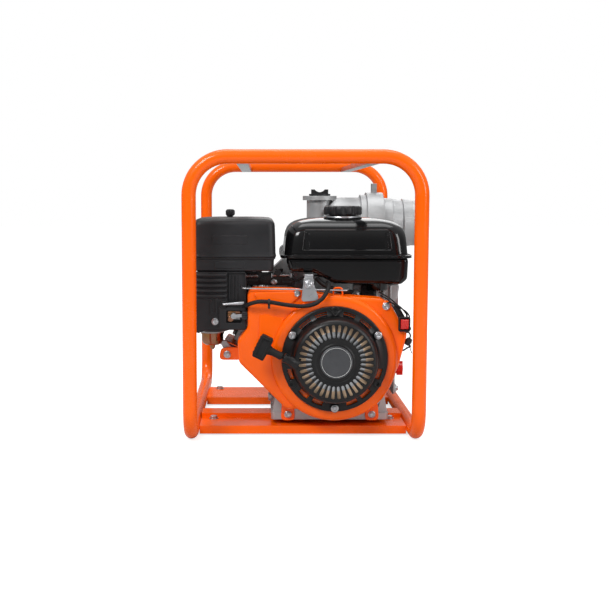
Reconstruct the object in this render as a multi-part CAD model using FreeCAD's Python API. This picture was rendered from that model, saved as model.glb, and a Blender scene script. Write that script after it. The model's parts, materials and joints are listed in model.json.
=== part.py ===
import FreeCAD, Part
import math
import os

# Engine-driven 4 inch water pump in a tube frame.
# Millimetres. +X right, +Y from the starter end to the pump end, +Z up.
# The model is laid out from the frame's centre plane (x), the front hoop's plane (y)
# and the ground (z), then moved so that the origin is the bottom centre of the whole box.

# Frame
TUBE_R = 13.45
FRAME_W = 460.0
FRAME_H = 554.0
HOOP_GAP = 645.0
TOP_BEND = 72.0
FOOT_BEND = 50.0
LEG_X = FRAME_W / 2 - TUBE_R
SHEET = 3.0
RAIL_HALF = LEG_X - TUBE_R - 0.05
RAIL_TOP = 19.0
ENGINE_Z = 27.0
FRONT_RAIL = (72.0, 155.0, 206.0)
REAR_RAIL = (365.0, 493.0)
RAIL_BOLT_X = 178.0
RAIL_BOLT_Y = (141.0, 470.0)
BAR_X = (-117.0, 126.0)
BAR_W = 22.0

# Engine
CRANK_X = 59.0
CRANK_Z = 157.0
SHAFT_R = 12.5
CASE_Y = (92.0, 300.0)
CASE_WALL = 16.0
CYL_Y = 180.0
CYL_TILT = -65.0
BORE_R = 44.0
FOOT_X = (-62.0, 170.0)
FOOT_Y = (92.0, 232.0)
FOOT_BOLT_X = (-46.0, 160.0)
FOOT_BOLT_Y = (124.0, 172.0)
DRUM_R = 122.0
DRUM_Y = 38.0
SHROUD_Y = 48.0
RING_R = 102.0
DOME_R = 79.0
DOME_Y = -8.0
BOSS_Y = 23.0
REEL_R = 72.0
GRIP = FreeCAD.Vector(-79, 4, 184.5)
GRIP_OUT = FreeCAD.Vector(-0.895, 0, 0.446)

# Fuel tank
LIP = (-44.0, 214.0, 78.0, 300.0)
LIP_Z = 350.0
TANK_TOP = 427.0
CAP_X = 84.0
CAP_Y = 185.0
CAP_R = 39.0

# Air cleaner
LID = (-216.0, -53.0, 60.0, 232.0)
LID_Z = (349.5, 427.0)
TRAY_Z = 323.0
KNOB_X = -144.0
KNOB_Y = 140.0

# Pump
PUMP_Y = (362.0, 500.0)
PUMP_R = 118.0
PORT_R = 51.0
NUT_R = 68.0
OUT_Y = 420.0
OUT_Z = 408.0
OUT_END = 283.0
FILL_X = 50.0
FILL_Y = 420.0
IN_Z = 245.0
IN_END = 690.0
FLAP_Z = 299.0

# Whole box, for the origin
MID_X = (OUT_END - FRAME_W / 2) / 2
MID_Y = (IN_END - TUBE_R) / 2

ALONG_X = FreeCAD.Vector(1, 0, 0)
ALONG_Y = FreeCAD.Vector(0, 1, 0)
ALONG_Z = FreeCAD.Vector(0, 0, 1)

nodes = {}


# ---------------------------------------------------------------- helpers

def vec(x, y, z):
    return FreeCAD.Vector(x, y, z)


def box(x0, x1, y0, y1, z0, z1):
    return Part.makeBox(x1 - x0, y1 - y0, z1 - z0, vec(x0, y0, z0))


def rod(start, direction, radius, length):
    return Part.makeCylinder(radius, length, start, direction)


def pipe(start, direction, outer, inner, length):
    return rod(start, direction, outer, length).cut(rod(start, direction, inner, length))


def join(shapes):
    whole = shapes[0].multiFuse(shapes[1:]) if len(shapes) > 1 else shapes[0]
    return whole.removeSplitter()


def cut_all(shape, cutters):
    return shape.cut(Part.makeCompound(cutters)) if cutters else shape


def outline(points, y):
    ring = [vec(x, y, z) for x, z in points]
    return Part.Face(Part.makePolygon(ring + ring[:1]))


def prism(points, y0, y1):
    return outline(points, y0).extrude(vec(0, y1 - y0, 0))


def inset_prism(points, wall, y0, y1):
    face = outline(points, y0).makeOffset2D(-wall, 2)
    return face.extrude(vec(0, y1 - y0, 0))


def rounded_box(x0, x1, y0, y1, z0, z1, radius):
    block = box(x0, x1, y0, y1, z0, z1)
    return block.makeFillet(radius, block.Edges)


def upright_edges(shape, radius):
    edges = [e for e in shape.Edges if abs(e.tangentAt(e.FirstParameter).z) > 0.7]
    return shape.makeFillet(radius, edges)


def turned(profile, centre, direction=ALONG_Y):
    """Solid of revolution: profile points are (radius, distance along direction)."""
    side = ALONG_Z if abs(direction.z) < 0.5 else ALONG_X
    ring = [centre + side * r + direction * d for r, d in profile]
    face = Part.Face(Part.makePolygon(ring + ring[:1]))
    return face.revolve(centre, direction, 360)


def placed(shape, base, direction):
    moved = shape.copy()
    moved.Placement = FreeCAD.Placement(base, FreeCAD.Rotation(ALONG_Z, direction))
    return moved


def on_cylinder(shape):
    """Moves a solid built along +Z from the crank line onto the leaning cylinder's axis."""
    moved = shape.copy()
    moved.Placement = FreeCAD.Placement(
        vec(CRANK_X, CYL_Y, CRANK_Z), FreeCAD.Rotation(ALONG_Y, CYL_TILT))
    return moved


def crank(y):
    return vec(CRANK_X, y, CRANK_Z)


def route(points, radius=None):
    """Straight runs joined by tangent arcs. With no radius, each is as large as its runs allow."""
    edges = []
    start = points[0]
    for before, corner, after in zip(points, points[1:], points[2:]):
        way_in = (corner - before).normalize()
        way_out = (after - corner).normalize()
        half = way_in.getAngle(way_out) / 2
        run = min((corner - before).Length, (after - corner).Length)
        bend = radius if radius else 0.45 * run / math.tan(half)
        reach = bend * math.tan(half)
        inward = (way_out - way_in).normalize()
        centre = corner + inward * (bend / math.cos(half))
        first = corner - way_in * reach
        last = corner + way_out * reach
        edges.append(Part.LineSegment(start, first).toShape())
        edges.append(Part.Arc(first, centre - inward * bend, last).toShape())
        start = last
    edges.append(Part.LineSegment(start, points[-1]).toShape())
    return Part.Wire(edges)


def swept(points, tube_r, radius=None):
    path = route(points, radius)
    ring = Part.Wire(Part.makeCircle(tube_r, points[0], points[1] - points[0]))
    return path.makePipeShell([ring], True, False)


def hexagon(across_flats, height):
    corner = across_flats / math.sqrt(3)
    ring = [vec(corner * math.cos(math.radians(60 * i)), corner * math.sin(math.radians(60 * i)), 0)
            for i in range(6)]
    prism_solid = Part.Face(Part.makePolygon(ring + ring[:1])).extrude(vec(0, 0, height))
    cap = Part.makeCone(corner, corner * 0.82, height * 0.3, vec(0, 0, height * 0.7))
    return prism_solid.common(join([rod(vec(0, 0, 0), ALONG_Z, corner, height * 0.7), cap]))


def bolt(size, shank):
    """Flanged hexagon bolt: seat at z = 0, head above, shank below."""
    flange = rod(vec(0, 0, 0), ALONG_Z, size * 1.15, size * 0.18)
    head = hexagon(size * 1.6, size * 0.75)
    stem = rod(vec(0, 0, -shank), ALONG_Z, size / 2, shank)
    return join([flange, head, stem])


def fasten(name, size, shank, seats, direction, through):
    """Adds one bolt at each seat and drills its hole in the listed nodes."""
    made = [placed(bolt(size, shank), seat, direction) for seat in seats]
    drills = [rod(seat + direction * 0.01, direction * -1, size / 2 + 0.15, shank + 0.4) for seat in seats]
    for target in through:
        nodes[target] = cut_all(nodes[target], drills)
    previous = nodes[name].Solids if name in nodes else []
    nodes[name] = Part.makeCompound(previous + made)


# ---------------------------------------------------------------- frame

def hoop(y, towards):
    """One bent tube: an arch whose two legs turn along the ground at the bottom."""
    mid = HOOP_GAP / 2
    low = TUBE_R
    high = FRAME_H - TUBE_R
    path = []
    top = TOP_BEND
    foot = FOOT_BEND
    slope = math.sqrt(0.5)

    def line(a, b):
        path.append(Part.LineSegment(a, b).toShape())

    def arc(a, m, b):
        path.append(Part.Arc(a, m, b).toShape())

    end_y = y + towards * mid
    foot_y = y + towards * foot
    foot_mid = vec(-LEG_X, y + towards * foot * (1 - slope), low + foot * (1 - slope))
    line(vec(-LEG_X, end_y, low), vec(-LEG_X, foot_y, low))
    arc(vec(-LEG_X, foot_y, low), foot_mid, vec(-LEG_X, y, low + foot))
    line(vec(-LEG_X, y, low + foot), vec(-LEG_X, y, high - top))
    bend_x = LEG_X - top + top * slope
    bend_z = high - top + top * slope
    arc(vec(-LEG_X, y, high - top), vec(-bend_x, y, bend_z), vec(top - LEG_X, y, high))
    line(vec(top - LEG_X, y, high), vec(LEG_X - top, y, high))
    arc(vec(LEG_X - top, y, high), vec(bend_x, y, bend_z), vec(LEG_X, y, high - top))
    line(vec(LEG_X, y, high - top), vec(LEG_X, y, low + foot))
    foot_mid = vec(LEG_X, foot_mid.y, foot_mid.z)
    arc(vec(LEG_X, y, low + foot), foot_mid, vec(LEG_X, foot_y, low))
    line(vec(LEG_X, foot_y, low), vec(LEG_X, end_y, low))
    ring = Part.Wire(Part.makeCircle(TUBE_R, vec(-LEG_X, end_y, low), ALONG_Y))
    return Part.Wire(path).makePipeShell([ring], True, False)


def frame():
    nodes["front_frame_hoop"] = hoop(0, 1)
    nodes["rear_frame_hoop"] = hoop(HOOP_GAP, -1)
    bar_z = FRAME_H - 2 * TUBE_R
    bars = [box(x - BAR_W / 2, x + BAR_W / 2, 2, HOOP_GAP - 2, bar_z, bar_z + 11) for x in BAR_X]
    bars = [bar.cut(nodes["front_frame_hoop"]).cut(nodes["rear_frame_hoop"]) for bar in bars]
    nodes["top_cross_bars"] = Part.makeCompound([max(bar.Solids, key=lambda s: s.Volume) for bar in bars])


def rails():
    front, step, back = FRONT_RAIL
    half = RAIL_HALF
    nodes["front_cross_rail"] = join([
        box(-half, half, front, front + SHEET, 3, RAIL_TOP),
        box(-half, half, front, step + SHEET, RAIL_TOP - SHEET, RAIL_TOP),
        box(-half, half, step, step + SHEET, RAIL_TOP - SHEET, ENGINE_Z),
        box(-half, half, step, back, ENGINE_Z - SHEET, ENGINE_Z),
        box(-half, half, back - SHEET, back, 3, ENGINE_Z)])
    front, back = REAR_RAIL
    nodes["rear_cross_rail"] = join([
        box(-half, half, front, front + SHEET, 3, RAIL_TOP),
        box(-half, half, front, back, RAIL_TOP - SHEET, RAIL_TOP),
        box(-half, half, back - SHEET, back, 3, RAIL_TOP)])
    tabs = []
    seats = []
    under = RAIL_TOP - SHEET
    for side in (-1, 1):
        inner = side * (RAIL_BOLT_X - 16)
        outer = side * (RAIL_HALF + 3)
        for y in RAIL_BOLT_Y:
            tabs.append(box(min(inner, outer), max(inner, outer), y - 13, y + 13, under - 4, under))
            seats.append(vec(side * RAIL_BOLT_X, y, RAIL_TOP))
    for name, y_side in (("front_frame_hoop", 0), ("rear_frame_hoop", 1)):
        own = [tab for tab in tabs if (tab.BoundBox.YMin > HOOP_GAP / 2) == bool(y_side)]
        nodes[name] = join([nodes[name]] + own)
    fasten("base_bolts", 8, 11, seats, ALONG_Z,
           ["front_cross_rail", "rear_cross_rail", "front_frame_hoop", "rear_frame_hoop"])


# ---------------------------------------------------------------- engine block

CASE_OUTLINE = [(-33, 41), (147, 41), (147, 54), (165, 78), (165, 215), (140, 240), (100, 252),
                (-3.6, 254.6), (-56, 142), (-52, 84), (-33, 54)]


def crankcase():
    front, back = CASE_Y
    body = prism(CASE_OUTLINE, front, back)
    hollow = inset_prism(CASE_OUTLINE, 9, front + CASE_WALL, back - CASE_WALL)
    feet = box(FOOT_X[0], FOOT_X[1], FOOT_Y[0], FOOT_Y[1], ENGINE_Z, 41)
    feet = upright_edges(feet, 8)
    ribs = []
    for y in (front + 4, 148, FOOT_Y[1] - 10):
        ribs.append(prism([(-60, 41), (-32, 41), (-48, 80), (-52, 80)], y, y + 6))
        ribs.append(prism([(168, 41), (146, 41), (158, 72), (163, 72)], y, y + 6))
    neck = rod(vec(160, 150, 121), ALONG_X, 14, 23)
    whole = join([body, feet, neck] + ribs)
    seat = rod(crank(front - 1), ALONG_Y, 31.05, back - front + 2)
    barrel_hole = on_cylinder(rod(vec(0, 0, 60), ALONG_Z, BORE_R + 1, 60))
    filler = rod(vec(150, 150, 121), ALONG_X, 9, 40)
    nodes["crankcase"] = cut_all(whole, [hollow, seat, barrel_hole, filler])
    rings = []
    for y in (front, back - CASE_WALL):
        outer = pipe(crank(y), ALONG_Y, 31, 27, CASE_WALL)
        inner = pipe(crank(y), ALONG_Y, 22, 17.55, CASE_WALL)
        web = pipe(crank(y + 5), ALONG_Y, 27, 22, 6)
        rings.append(join([outer, inner, web]))
    nodes["crank_bearings"] = Part.makeCompound(rings)


def cylinder():
    inner = rod(vec(0, 0, 97), ALONG_Z, BORE_R, 60)
    fins = [box(-60, 60, -62, 62, z, z + 3) for z in (110, 119, 128, 137)]
    flanges = [box(-56, 56, -60, 60, 99, 105), box(-58, 58, -62, 62, 145, 150)]
    barrel = join([rod(vec(0, 0, 99), ALONG_Z, 52, 51)] + flanges + fins)
    nodes["cylinder_barrel"] = on_cylinder(barrel.cut(inner))
    piston = rod(vec(0, 0, 100), ALONG_Z, BORE_R - 0.1, 46)
    grooves = [pipe(vec(0, 0, z), ALONG_Z, BORE_R, BORE_R - 2.5, 2) for z in (134, 139)]
    nodes["piston"] = on_cylinder(cut_all(piston, grooves))
    head = box(-58, 58, -62, 62, 150, 188)
    slots = []
    for z in (156, 163, 170, 177):
        slots.append(box(38, 60, -64, 64, z, z + 3.5))
        slots.append(box(-60, -38, -64, 64, z, z + 3.5))
    nodes["cylinder_head"] = on_cylinder(cut_all(head, slots))
    cover = upright_local(box(-44, 44, -48, 48, 192, 220), 10)
    lip = box(-50, 50, -54, 54, 188, 192)
    nodes["rocker_cover"] = on_cylinder(join([cover, lip]))
    turn = FreeCAD.Rotation(ALONG_Y, CYL_TILT)
    seats = []
    for x in (-46.5, 46.5):
        for y in (-50.0, 50.0):
            seats.append(vec(CRANK_X, CYL_Y, CRANK_Z) + turn.multVec(vec(x, y, 192)))
    fasten("cover_bolts", 5, 14, seats, turn.multVec(ALONG_Z), ["rocker_cover", "cylinder_head"])
    plug_x = turn.multVec(vec(-1, 0, 0))
    plug_at = vec(CRANK_X, CYL_Y, CRANK_Z) + turn.multVec(vec(-58, 20, 182.5))
    nodes["spark_plug_boot"] = join([
        rod(plug_at, plug_x, 5.5, 14),
        rod(plug_at + plug_x * 8, plug_x, 11, 34)])
    shroud = box(-66, -64, -88, 40, 106, 205)
    tab = box(-102, -64, -88, -86, 176, 204)
    boot_hole = rod(vec(-70, 20, 182.5), ALONG_X, 13, 10)
    nodes["cylinder_lower_shroud"] = on_cylinder(join([shroud, tab]).cut(boot_hole))


def upright_local(shape, radius):
    edges = [e for e in shape.Edges if e.BoundBox.ZLength > 5]
    top = max(shape.Edges, key=lambda e: e.BoundBox.ZMin).BoundBox.ZMin
    rims = [e for e in shape.Edges if e.BoundBox.ZMin > top - 0.01]
    return shape.makeFillet(radius, edges + rims)


# ---------------------------------------------------------------- cooling cover and starter

SHROUD = [(-108, 292), (-22, 290), (40, 280), (150, 272), (168, 260), (200, 203), (184, 140),
          (150, 70), (-30, 55), (-38, 61), (-125, 148), (-128, 190), (-108, 215)]
COVER_EARS = [(-13.4, 281.0), (158.0, 257.5), (-148.6, 158.0), (-29.0, 38.0), (137.0, 38.0)]


def fan_cover():
    back = CASE_Y[0]
    drum = rod(crank(DRUM_Y), ALONG_Y, DRUM_R, back - DRUM_Y)
    drum = drum.makeFillet(9, [drum.Edges[2]]) if drum.Edges[2].BoundBox.YMin < DRUM_Y + 1 else drum
    shroud = prism(SHROUD, SHROUD_Y, back)
    ears = [box(x - 13, x + 13, back - 4, back, z - 12, z + 22) for x, z in COVER_EARS[3:]]
    ears.append(box(-166, -118, back - 4, back, 147, 172))
    hollow = rod(crank(DRUM_Y + SHEET), ALONG_Y, DRUM_R - SHEET, back - DRUM_Y)
    hollow_shroud = inset_prism(SHROUD, SHEET, SHROUD_Y + SHEET, back + 1)
    inlet = rod(crank(DRUM_Y - 1), ALONG_Y, 86, SHEET + 2)
    pads = [rod(vec(x, SHROUD_Y, z), ALONG_Y, 9, back - SHROUD_Y) for x, z in COVER_EARS[:2]]
    shell = cut_all(join([drum, shroud] + ears), [hollow, hollow_shroud, inlet])
    loop = box(57, 75, 60, 63, 270, 292).cut(box(61, 71, 59, 64, 281, 288))
    cover = join([shell, loop] + pads)
    below = box(-60, 180, back - 30, back + 1, 20, ENGINE_Z + 0.5)
    nodes["fan_cover"] = max(cover.cut(below).Solids, key=lambda s: s.Volume)
    deep = [vec(x, SHROUD_Y, z) for x, z in COVER_EARS[:2]]
    thin = [vec(x, back - 4, z) for x, z in COVER_EARS[2:]]
    fasten("cover_bolts", 6, 52, deep, ALONG_Y * -1, ["fan_cover", "crankcase"])
    fasten("cover_bolts", 6, 12, thin, ALONG_Y * -1,
           ["fan_cover", "crankcase", "cylinder_lower_shroud"])


def recoil():
    outer = [(RING_R, DRUM_Y), (RING_R, 31), (97, 27), (86, 23), (82, 17), (DOME_R, 2),
             (75, -5), (66, DOME_Y), (0, DOME_Y)]
    inner = [(0, DOME_Y + 3), (64, DOME_Y + 3), (72, -2), (76, 4), (79, 19), (83, 26), (94, 30),
             (98, 33), (98, DRUM_Y)]
    shell = turned(outer + inner, crank(0))
    slots = []
    for i in range(36):
        slot = box(46, 70, DOME_Y - 1, DOME_Y + 4, -2.6, 2.6)
        slot.rotate(vec(0, 0, 0), ALONG_Y, i * 10 + 5)
        slot.translate(crank(0))
        slots.append(slot)
    post = rod(crank(DOME_Y + 3), ALONG_Y, 8, 27.5)
    guide = rod(GRIP - GRIP_OUT * 66, GRIP_OUT, 8, 22)
    retainer = rod(crank(22.5), ALONG_Y, 13, 3)
    shell = cut_all(join([shell, post, guide, retainer]), slots)
    nodes["recoil_housing"] = shell.cut(rod(GRIP - GRIP_OUT * 75, GRIP_OUT, 3.6, 40))
    nodes["recoil_badge"] = turned(
        [(0, DOME_Y), (31, DOME_Y), (31, DOME_Y - 1.5), (28, DOME_Y - 3), (0, DOME_Y - 3)], crank(0))
    nodes["recoil_spring"] = pipe(crank(-4.6), ALONG_Y, 46, 14, 6)
    reel = turned([(8.05, 2), (REEL_R, 2), (REEL_R, 4), (48, 7), (48, 17), (REEL_R, 20),
                   (REEL_R, 22), (8.05, 22)], crank(0))
    nodes["recoil_reel"] = reel
    seats = []
    for degrees in (30, 150, 270):
        a = math.radians(degrees)
        seats.append(vec(CRANK_X + 94 * math.cos(a), BOSS_Y, CRANK_Z + 94 * math.sin(a)))
    for seat in seats:
        boss = rod(seat, ALONG_Y, 8, DRUM_Y - BOSS_Y)
        room = rod(seat, ALONG_Y * -1, 9, 20)
        nodes["recoil_housing"] = join([nodes["recoil_housing"], boss]).cut(room)
    fasten("cover_bolts", 6, 20, seats, ALONG_Y * -1, ["recoil_housing", "fan_cover"])


def grip():
    """T-shaped pull handle, parked beside the starter, and the short rope that shows."""
    pull = GRIP_OUT
    across = vec(0.446, 0, 0.895)
    centre = GRIP
    bar = []
    for along, half, thick in ((-23, 6.5, 8), (-12, 9, 10), (0, 11.5, 12), (12, 9, 10), (23, 6.5, 8)):
        at = centre + across * along
        ring = [at + pull * half + ALONG_Y * thick * 0.6, at + pull * half - ALONG_Y * thick * 0.6,
                at + pull * half * 0.5 - ALONG_Y * thick, at - pull * half * 0.5 - ALONG_Y * thick,
                at - pull * half - ALONG_Y * thick * 0.6, at - pull * half + ALONG_Y * thick * 0.6,
                at - pull * half * 0.5 + ALONG_Y * thick, at + pull * half * 0.5 + ALONG_Y * thick]
        bar.append(Part.makePolygon(ring + ring[:1]))
    body = Part.makeLoft(bar, True, True)
    neck_start = centre - pull * 9
    neck = Part.makeCone(8, 5, 18, neck_start, pull * -1)
    nodes["recoil_handle"] = join([body, neck])
    nodes["starter_rope"] = rod(neck_start - pull * 18, pull * -1, 3, 26)


def rotor():
    """Crankshaft, flywheel, starter cup and impeller turn together."""
    steps = [(0, 42), (8, 42), (8, 53), (14, 53), (14, 90), (17.5, 90), (17.5, 146), (55, 146),
             (55, 164), (0, 164)]
    nose = turned(steps, crank(0))
    tail_steps = [(0, 196), (55, 196), (55, 214), (17.5, 214), (17.5, 299.5), (SHAFT_R, 299.5),
                  (SHAFT_R, 398), (0, 398)]
    tail = turned(tail_steps, crank(0))
    pin = rod(crank(164) + on_axis(30), ALONG_Y, 18, 32)
    nodes["crankshaft"] = join([nose, tail, pin])
    cup = join([pipe(crank(30), ALONG_Y, 40, 37, 23), pipe(crank(50), ALONG_Y, 37, 8, 3)])
    nut = placed(hexagon(30, 9), crank(50), ALONG_Y * -1).cut(rod(crank(40), ALONG_Y, 8, 14))
    disc = [(14, 53), (28, 53), (28, 64), (96, 64), (96, 84), (30, 84), (30, 90), (14, 90)]
    blades = []
    for i in range(16):
        blade = box(64, 94, 46, 64.5, -1.8, 1.8)
        blade.rotate(vec(64, 0, 0), ALONG_Y, 28)
        blade.rotate(vec(0, 0, 0), ALONG_Y, i * 22.5)
        blade.translate(crank(0))
        blades.append(blade)
    fan = join([turned(disc, crank(0))] + blades)
    nodes["flywheel_fan"] = Part.makeCompound([fan, cup, nut])
    hub = turned([(SHAFT_R, 380), (20, 380), (20, 412), (0, 418), (0, 398), (SHAFT_R, 398)], crank(0))
    plate = pipe(crank(384), ALONG_Y, 76, 20, 5)
    vanes = []
    for i in range(5):
        vane = pipe(vec(42, 388.5, 0), ALONG_Y, 36, 31.5, 30)
        vane = vane.common(box(0, 90, 380, 430, -90, 0)).common(rod(vec(0, 380, 0), ALONG_Y, 75.5, 50))
        vane = vane.cut(rod(vec(0, 379, 0), ALONG_Y, 22, 60))
        vane.rotate(vec(0, 0, 0), ALONG_Y, i * 72)
        vane.translate(crank(0))
        vanes.append(max(vane.Solids, key=lambda s: s.Volume))
    seal_ring = pipe(crank(PUMP_Y[0] + 4), ALONG_Y, 20, SHAFT_R, 13.5)
    nodes["impeller"] = Part.makeCompound([join([hub, plate] + vanes), seal_ring])


def on_axis(distance):
    """A step along the leaning cylinder's axis."""
    return FreeCAD.Rotation(ALONG_Y, CYL_TILT).multVec(vec(0, 0, distance))


# ---------------------------------------------------------------- fuel tank

def rounded_ring(x0, x1, y0, y1, radius, z):
    s = radius * (1 - math.sqrt(0.5))
    edges = []

    def line(a, b):
        edges.append(Part.LineSegment(vec(a[0], a[1], z), vec(b[0], b[1], z)).toShape())

    def arc(a, m, b):
        edges.append(Part.Arc(vec(a[0], a[1], z), vec(m[0], m[1], z), vec(b[0], b[1], z)).toShape())

    r = radius
    line((x0 + r, y0), (x1 - r, y0))
    arc((x1 - r, y0), (x1 - s, y0 + s), (x1, y0 + r))
    line((x1, y0 + r), (x1, y1 - r))
    arc((x1, y1 - r), (x1 - s, y1 - s), (x1 - r, y1))
    line((x1 - r, y1), (x0 + r, y1))
    arc((x0 + r, y1), (x0 + s, y1 - s), (x0, y1 - r))
    line((x0, y1 - r), (x0, y0 + r))
    arc((x0, y0 + r), (x0 + s, y0 + s), (x0 + r, y0))
    return Part.Wire(edges)


def tank_upper_form(wall):
    x0, x1, y0, y1 = LIP
    step = 8 + wall
    rings = [rounded_ring(x0 + step, x1 - step, y0 + step, y1 - step, 26 - wall, LIP_Z - 0.5 * wall),
             rounded_ring(x0 + step + 3, x1 - step - 3, y0 + step + 3, y1 - step - 3, 28 - wall, 392),
             rounded_ring(x0 + step + 9, x1 - step - 9, y0 + step + 9, y1 - step - 9, 28 - wall,
                          414 - wall),
             rounded_ring(x0 + step + 20, x1 - step - 20, y0 + step + 20, y1 - step - 20, 26 - wall,
                          423 - wall),
             rounded_ring(x0 + step + 40, x1 - step - 40, y0 + step + 40, y1 - step - 40, 22 - wall,
                          TANK_TOP - wall)]
    return Part.makeLoft(rings, True, True)


TANK_BELLY = [(-36, LIP_Z), (-27, 323), (-20, 320), (18, 320), (62, 297), (192, 296), (204, 306),
              (206, LIP_Z)]


def fuel_tank():
    x0, x1, y0, y1 = LIP
    upper_lip = Part.Face(rounded_ring(x0, x1, y0, y1, 30, LIP_Z)).extrude(vec(0, 0, 3))
    lower_lip = Part.Face(rounded_ring(x0, x1, y0, y1, 30, LIP_Z - 3)).extrude(vec(0, 0, 3))
    boss = rod(vec(CAP_X, CAP_Y, 422), ALONG_Z, 31, 7.6)
    neck = rod(vec(CAP_X, CAP_Y, 420), ALONG_Z, 27, 20)
    throat = rod(vec(CAP_X, CAP_Y, 400), ALONG_Z, 23, 45)
    shell = join([tank_upper_form(0), upper_lip, boss, neck])
    keep = box(x0 - 5, x1 + 5, y0 - 5, y1 + 5, LIP_Z, 460)
    nodes["fuel_tank_upper"] = shell.cut(tank_upper_form(2.5)).cut(throat).common(keep)
    belly = prism(TANK_BELLY, y0 + 8, y1 - 8)
    slim = [e for e in belly.Edges if e.BoundBox.YLength < 1 and e.BoundBox.ZMin < 340
            and e.BoundBox.XLength > 5 and e.BoundBox.ZMax < 321]
    belly = belly.makeFillet(7, slim)
    sump = rod(vec(150, 140, 281), ALONG_Z, 21, 18)
    hollow = inset_prism(TANK_BELLY, 2.5, y0 + 10.5, y1 - 10.5)
    open_top = box(x0 + 12, x1 - 12, y0 + 14, y1 - 14, LIP_Z - 6, LIP_Z + 1)
    sump_hollow = rod(vec(150, 140, 284), ALONG_Z, 18, 20)
    nodes["fuel_tank_lower"] = cut_all(join([belly, lower_lip, sump]), [hollow, open_top, sump_hollow])
    cap = rod(vec(CAP_X, CAP_Y, 430), ALONG_Z, CAP_R, 18)
    cap = cap.makeFillet(4, [e for e in cap.Edges if e.BoundBox.ZMin > 447])
    scoops = []
    for i in range(12):
        a = math.radians(30 * i)
        scoops.append(rod(vec(CAP_X + 43 * math.cos(a), CAP_Y + 43 * math.sin(a), 429), ALONG_Z, 6.5, 14))
    socket = rod(vec(CAP_X, CAP_Y, 429), ALONG_Z, 27.3, 11.3)
    nodes["fuel_cap"] = cut_all(cap, scoops + [socket])


def tank_supports():
    plate = prism([(-6, 267), (29, 270), (17.5, 319.5), (1, 319.5)], 33, 37)
    arm = box(1, 17.5, 33, 110, 315.5, 319.5)
    post = box(1, 17.5, 106, 110, 254.6, 319.5)
    left = join([plate, arm, post])
    right_leg = box(120, 200, 176, 180, 225, 295.5)
    shelf = box(120, 200, 176, 240, 292, 295.5)
    right = join([right_leg, shelf]).cut(nodes["crankcase"])
    rear_arm = box(-20, 16, 240, 304, 315.5, 319.5)
    rear_post = box(-20, 16, 300, 304, 240, 319.5)
    nodes["tank_brackets"] = Part.makeCompound([left, right, join([rear_arm, rear_post])])
    fasten("cover_bolts", 6, 7, [vec(8, 33, 300.6)], ALONG_Y * -1, ["tank_brackets"])


# ---------------------------------------------------------------- air cleaner and carburettor

def air_cleaner():
    x0, x1, y0, y1 = LID
    low, high = LID_Z
    lid = box(x0, x1, y0, y1, low, high)
    tops = [e for e in lid.Edges if e.BoundBox.ZMin > high - 1 or e.BoundBox.ZLength > 5]
    lid = lid.makeFillet(14, tops)
    inside = box(x0 + 3, x1 - 3, y0 + 3, y1 - 3, low - 1, high - 3)
    sides = [e for e in inside.Edges if e.BoundBox.ZMin > high - 4 or e.BoundBox.ZLength > 5]
    inside = inside.makeFillet(11, sides)
    stud_hole = rod(vec(KNOB_X, KNOB_Y, high - 6), ALONG_Z, 3.3, 10)
    nodes["air_cleaner_lid"] = lid.cut(inside).cut(stud_hole)
    tray = upright_edges(box(x0 + 4, x1 - 6, y0 + 4, y1 - 4, TRAY_Z, low - 0.1), 12)
    well = upright_edges(box(x0 + 7, x1 - 9, y0 + 7, y1 - 7, TRAY_Z + 3, low + 1), 10)
    duct_hole = rod(vec(-172, 106, TRAY_Z - 1), ALONG_Z, 16, 6)
    duct = pipe(vec(-172, 106, 252), ALONG_Z, 19, 16, TRAY_Z - 252)
    stud = rod(vec(KNOB_X, KNOB_Y, TRAY_Z + 3), ALONG_Z, 3, high + 9 - TRAY_Z)
    nodes["air_cleaner_tray"] = join([tray.cut(well).cut(duct_hole), duct, stud])
    nodes["air_filter_element"] = upright_edges(
        box(x0 + 18, x1 - 22, y0 + 18, y1 - 20, TRAY_Z + 3, high - 12), 10).cut(
        rod(vec(KNOB_X, KNOB_Y, TRAY_Z), ALONG_Z, 4, 110))
    knob = turned([(3.05, 0.3), (6, 0.3), (6, 2), (8, 4), (8, 13), (6.5, 15), (3.05, 15)],
                  vec(KNOB_X, KNOB_Y, high), ALONG_Z)
    wings = box(KNOB_X - 9.5, KNOB_X + 9.5, KNOB_Y - 1.6, KNOB_Y + 1.6, high + 4, high + 14)
    bore = rod(vec(KNOB_X, KNOB_Y, high), ALONG_Z, 3.05, 20)
    nodes["air_cleaner_knob"] = join([knob, wings]).cut(bore)


INTAKE_COVER = [(-209, 322.9), (-113, 322.9), (-111, 300), (-111, 236), (-125, 216), (-150, 208),
                (-196, 208), (-209, 222)]
CHOKE_PIVOT = (-154.0, 260.0)
COCK_PIVOT = (-135.0, 237.0)


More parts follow.
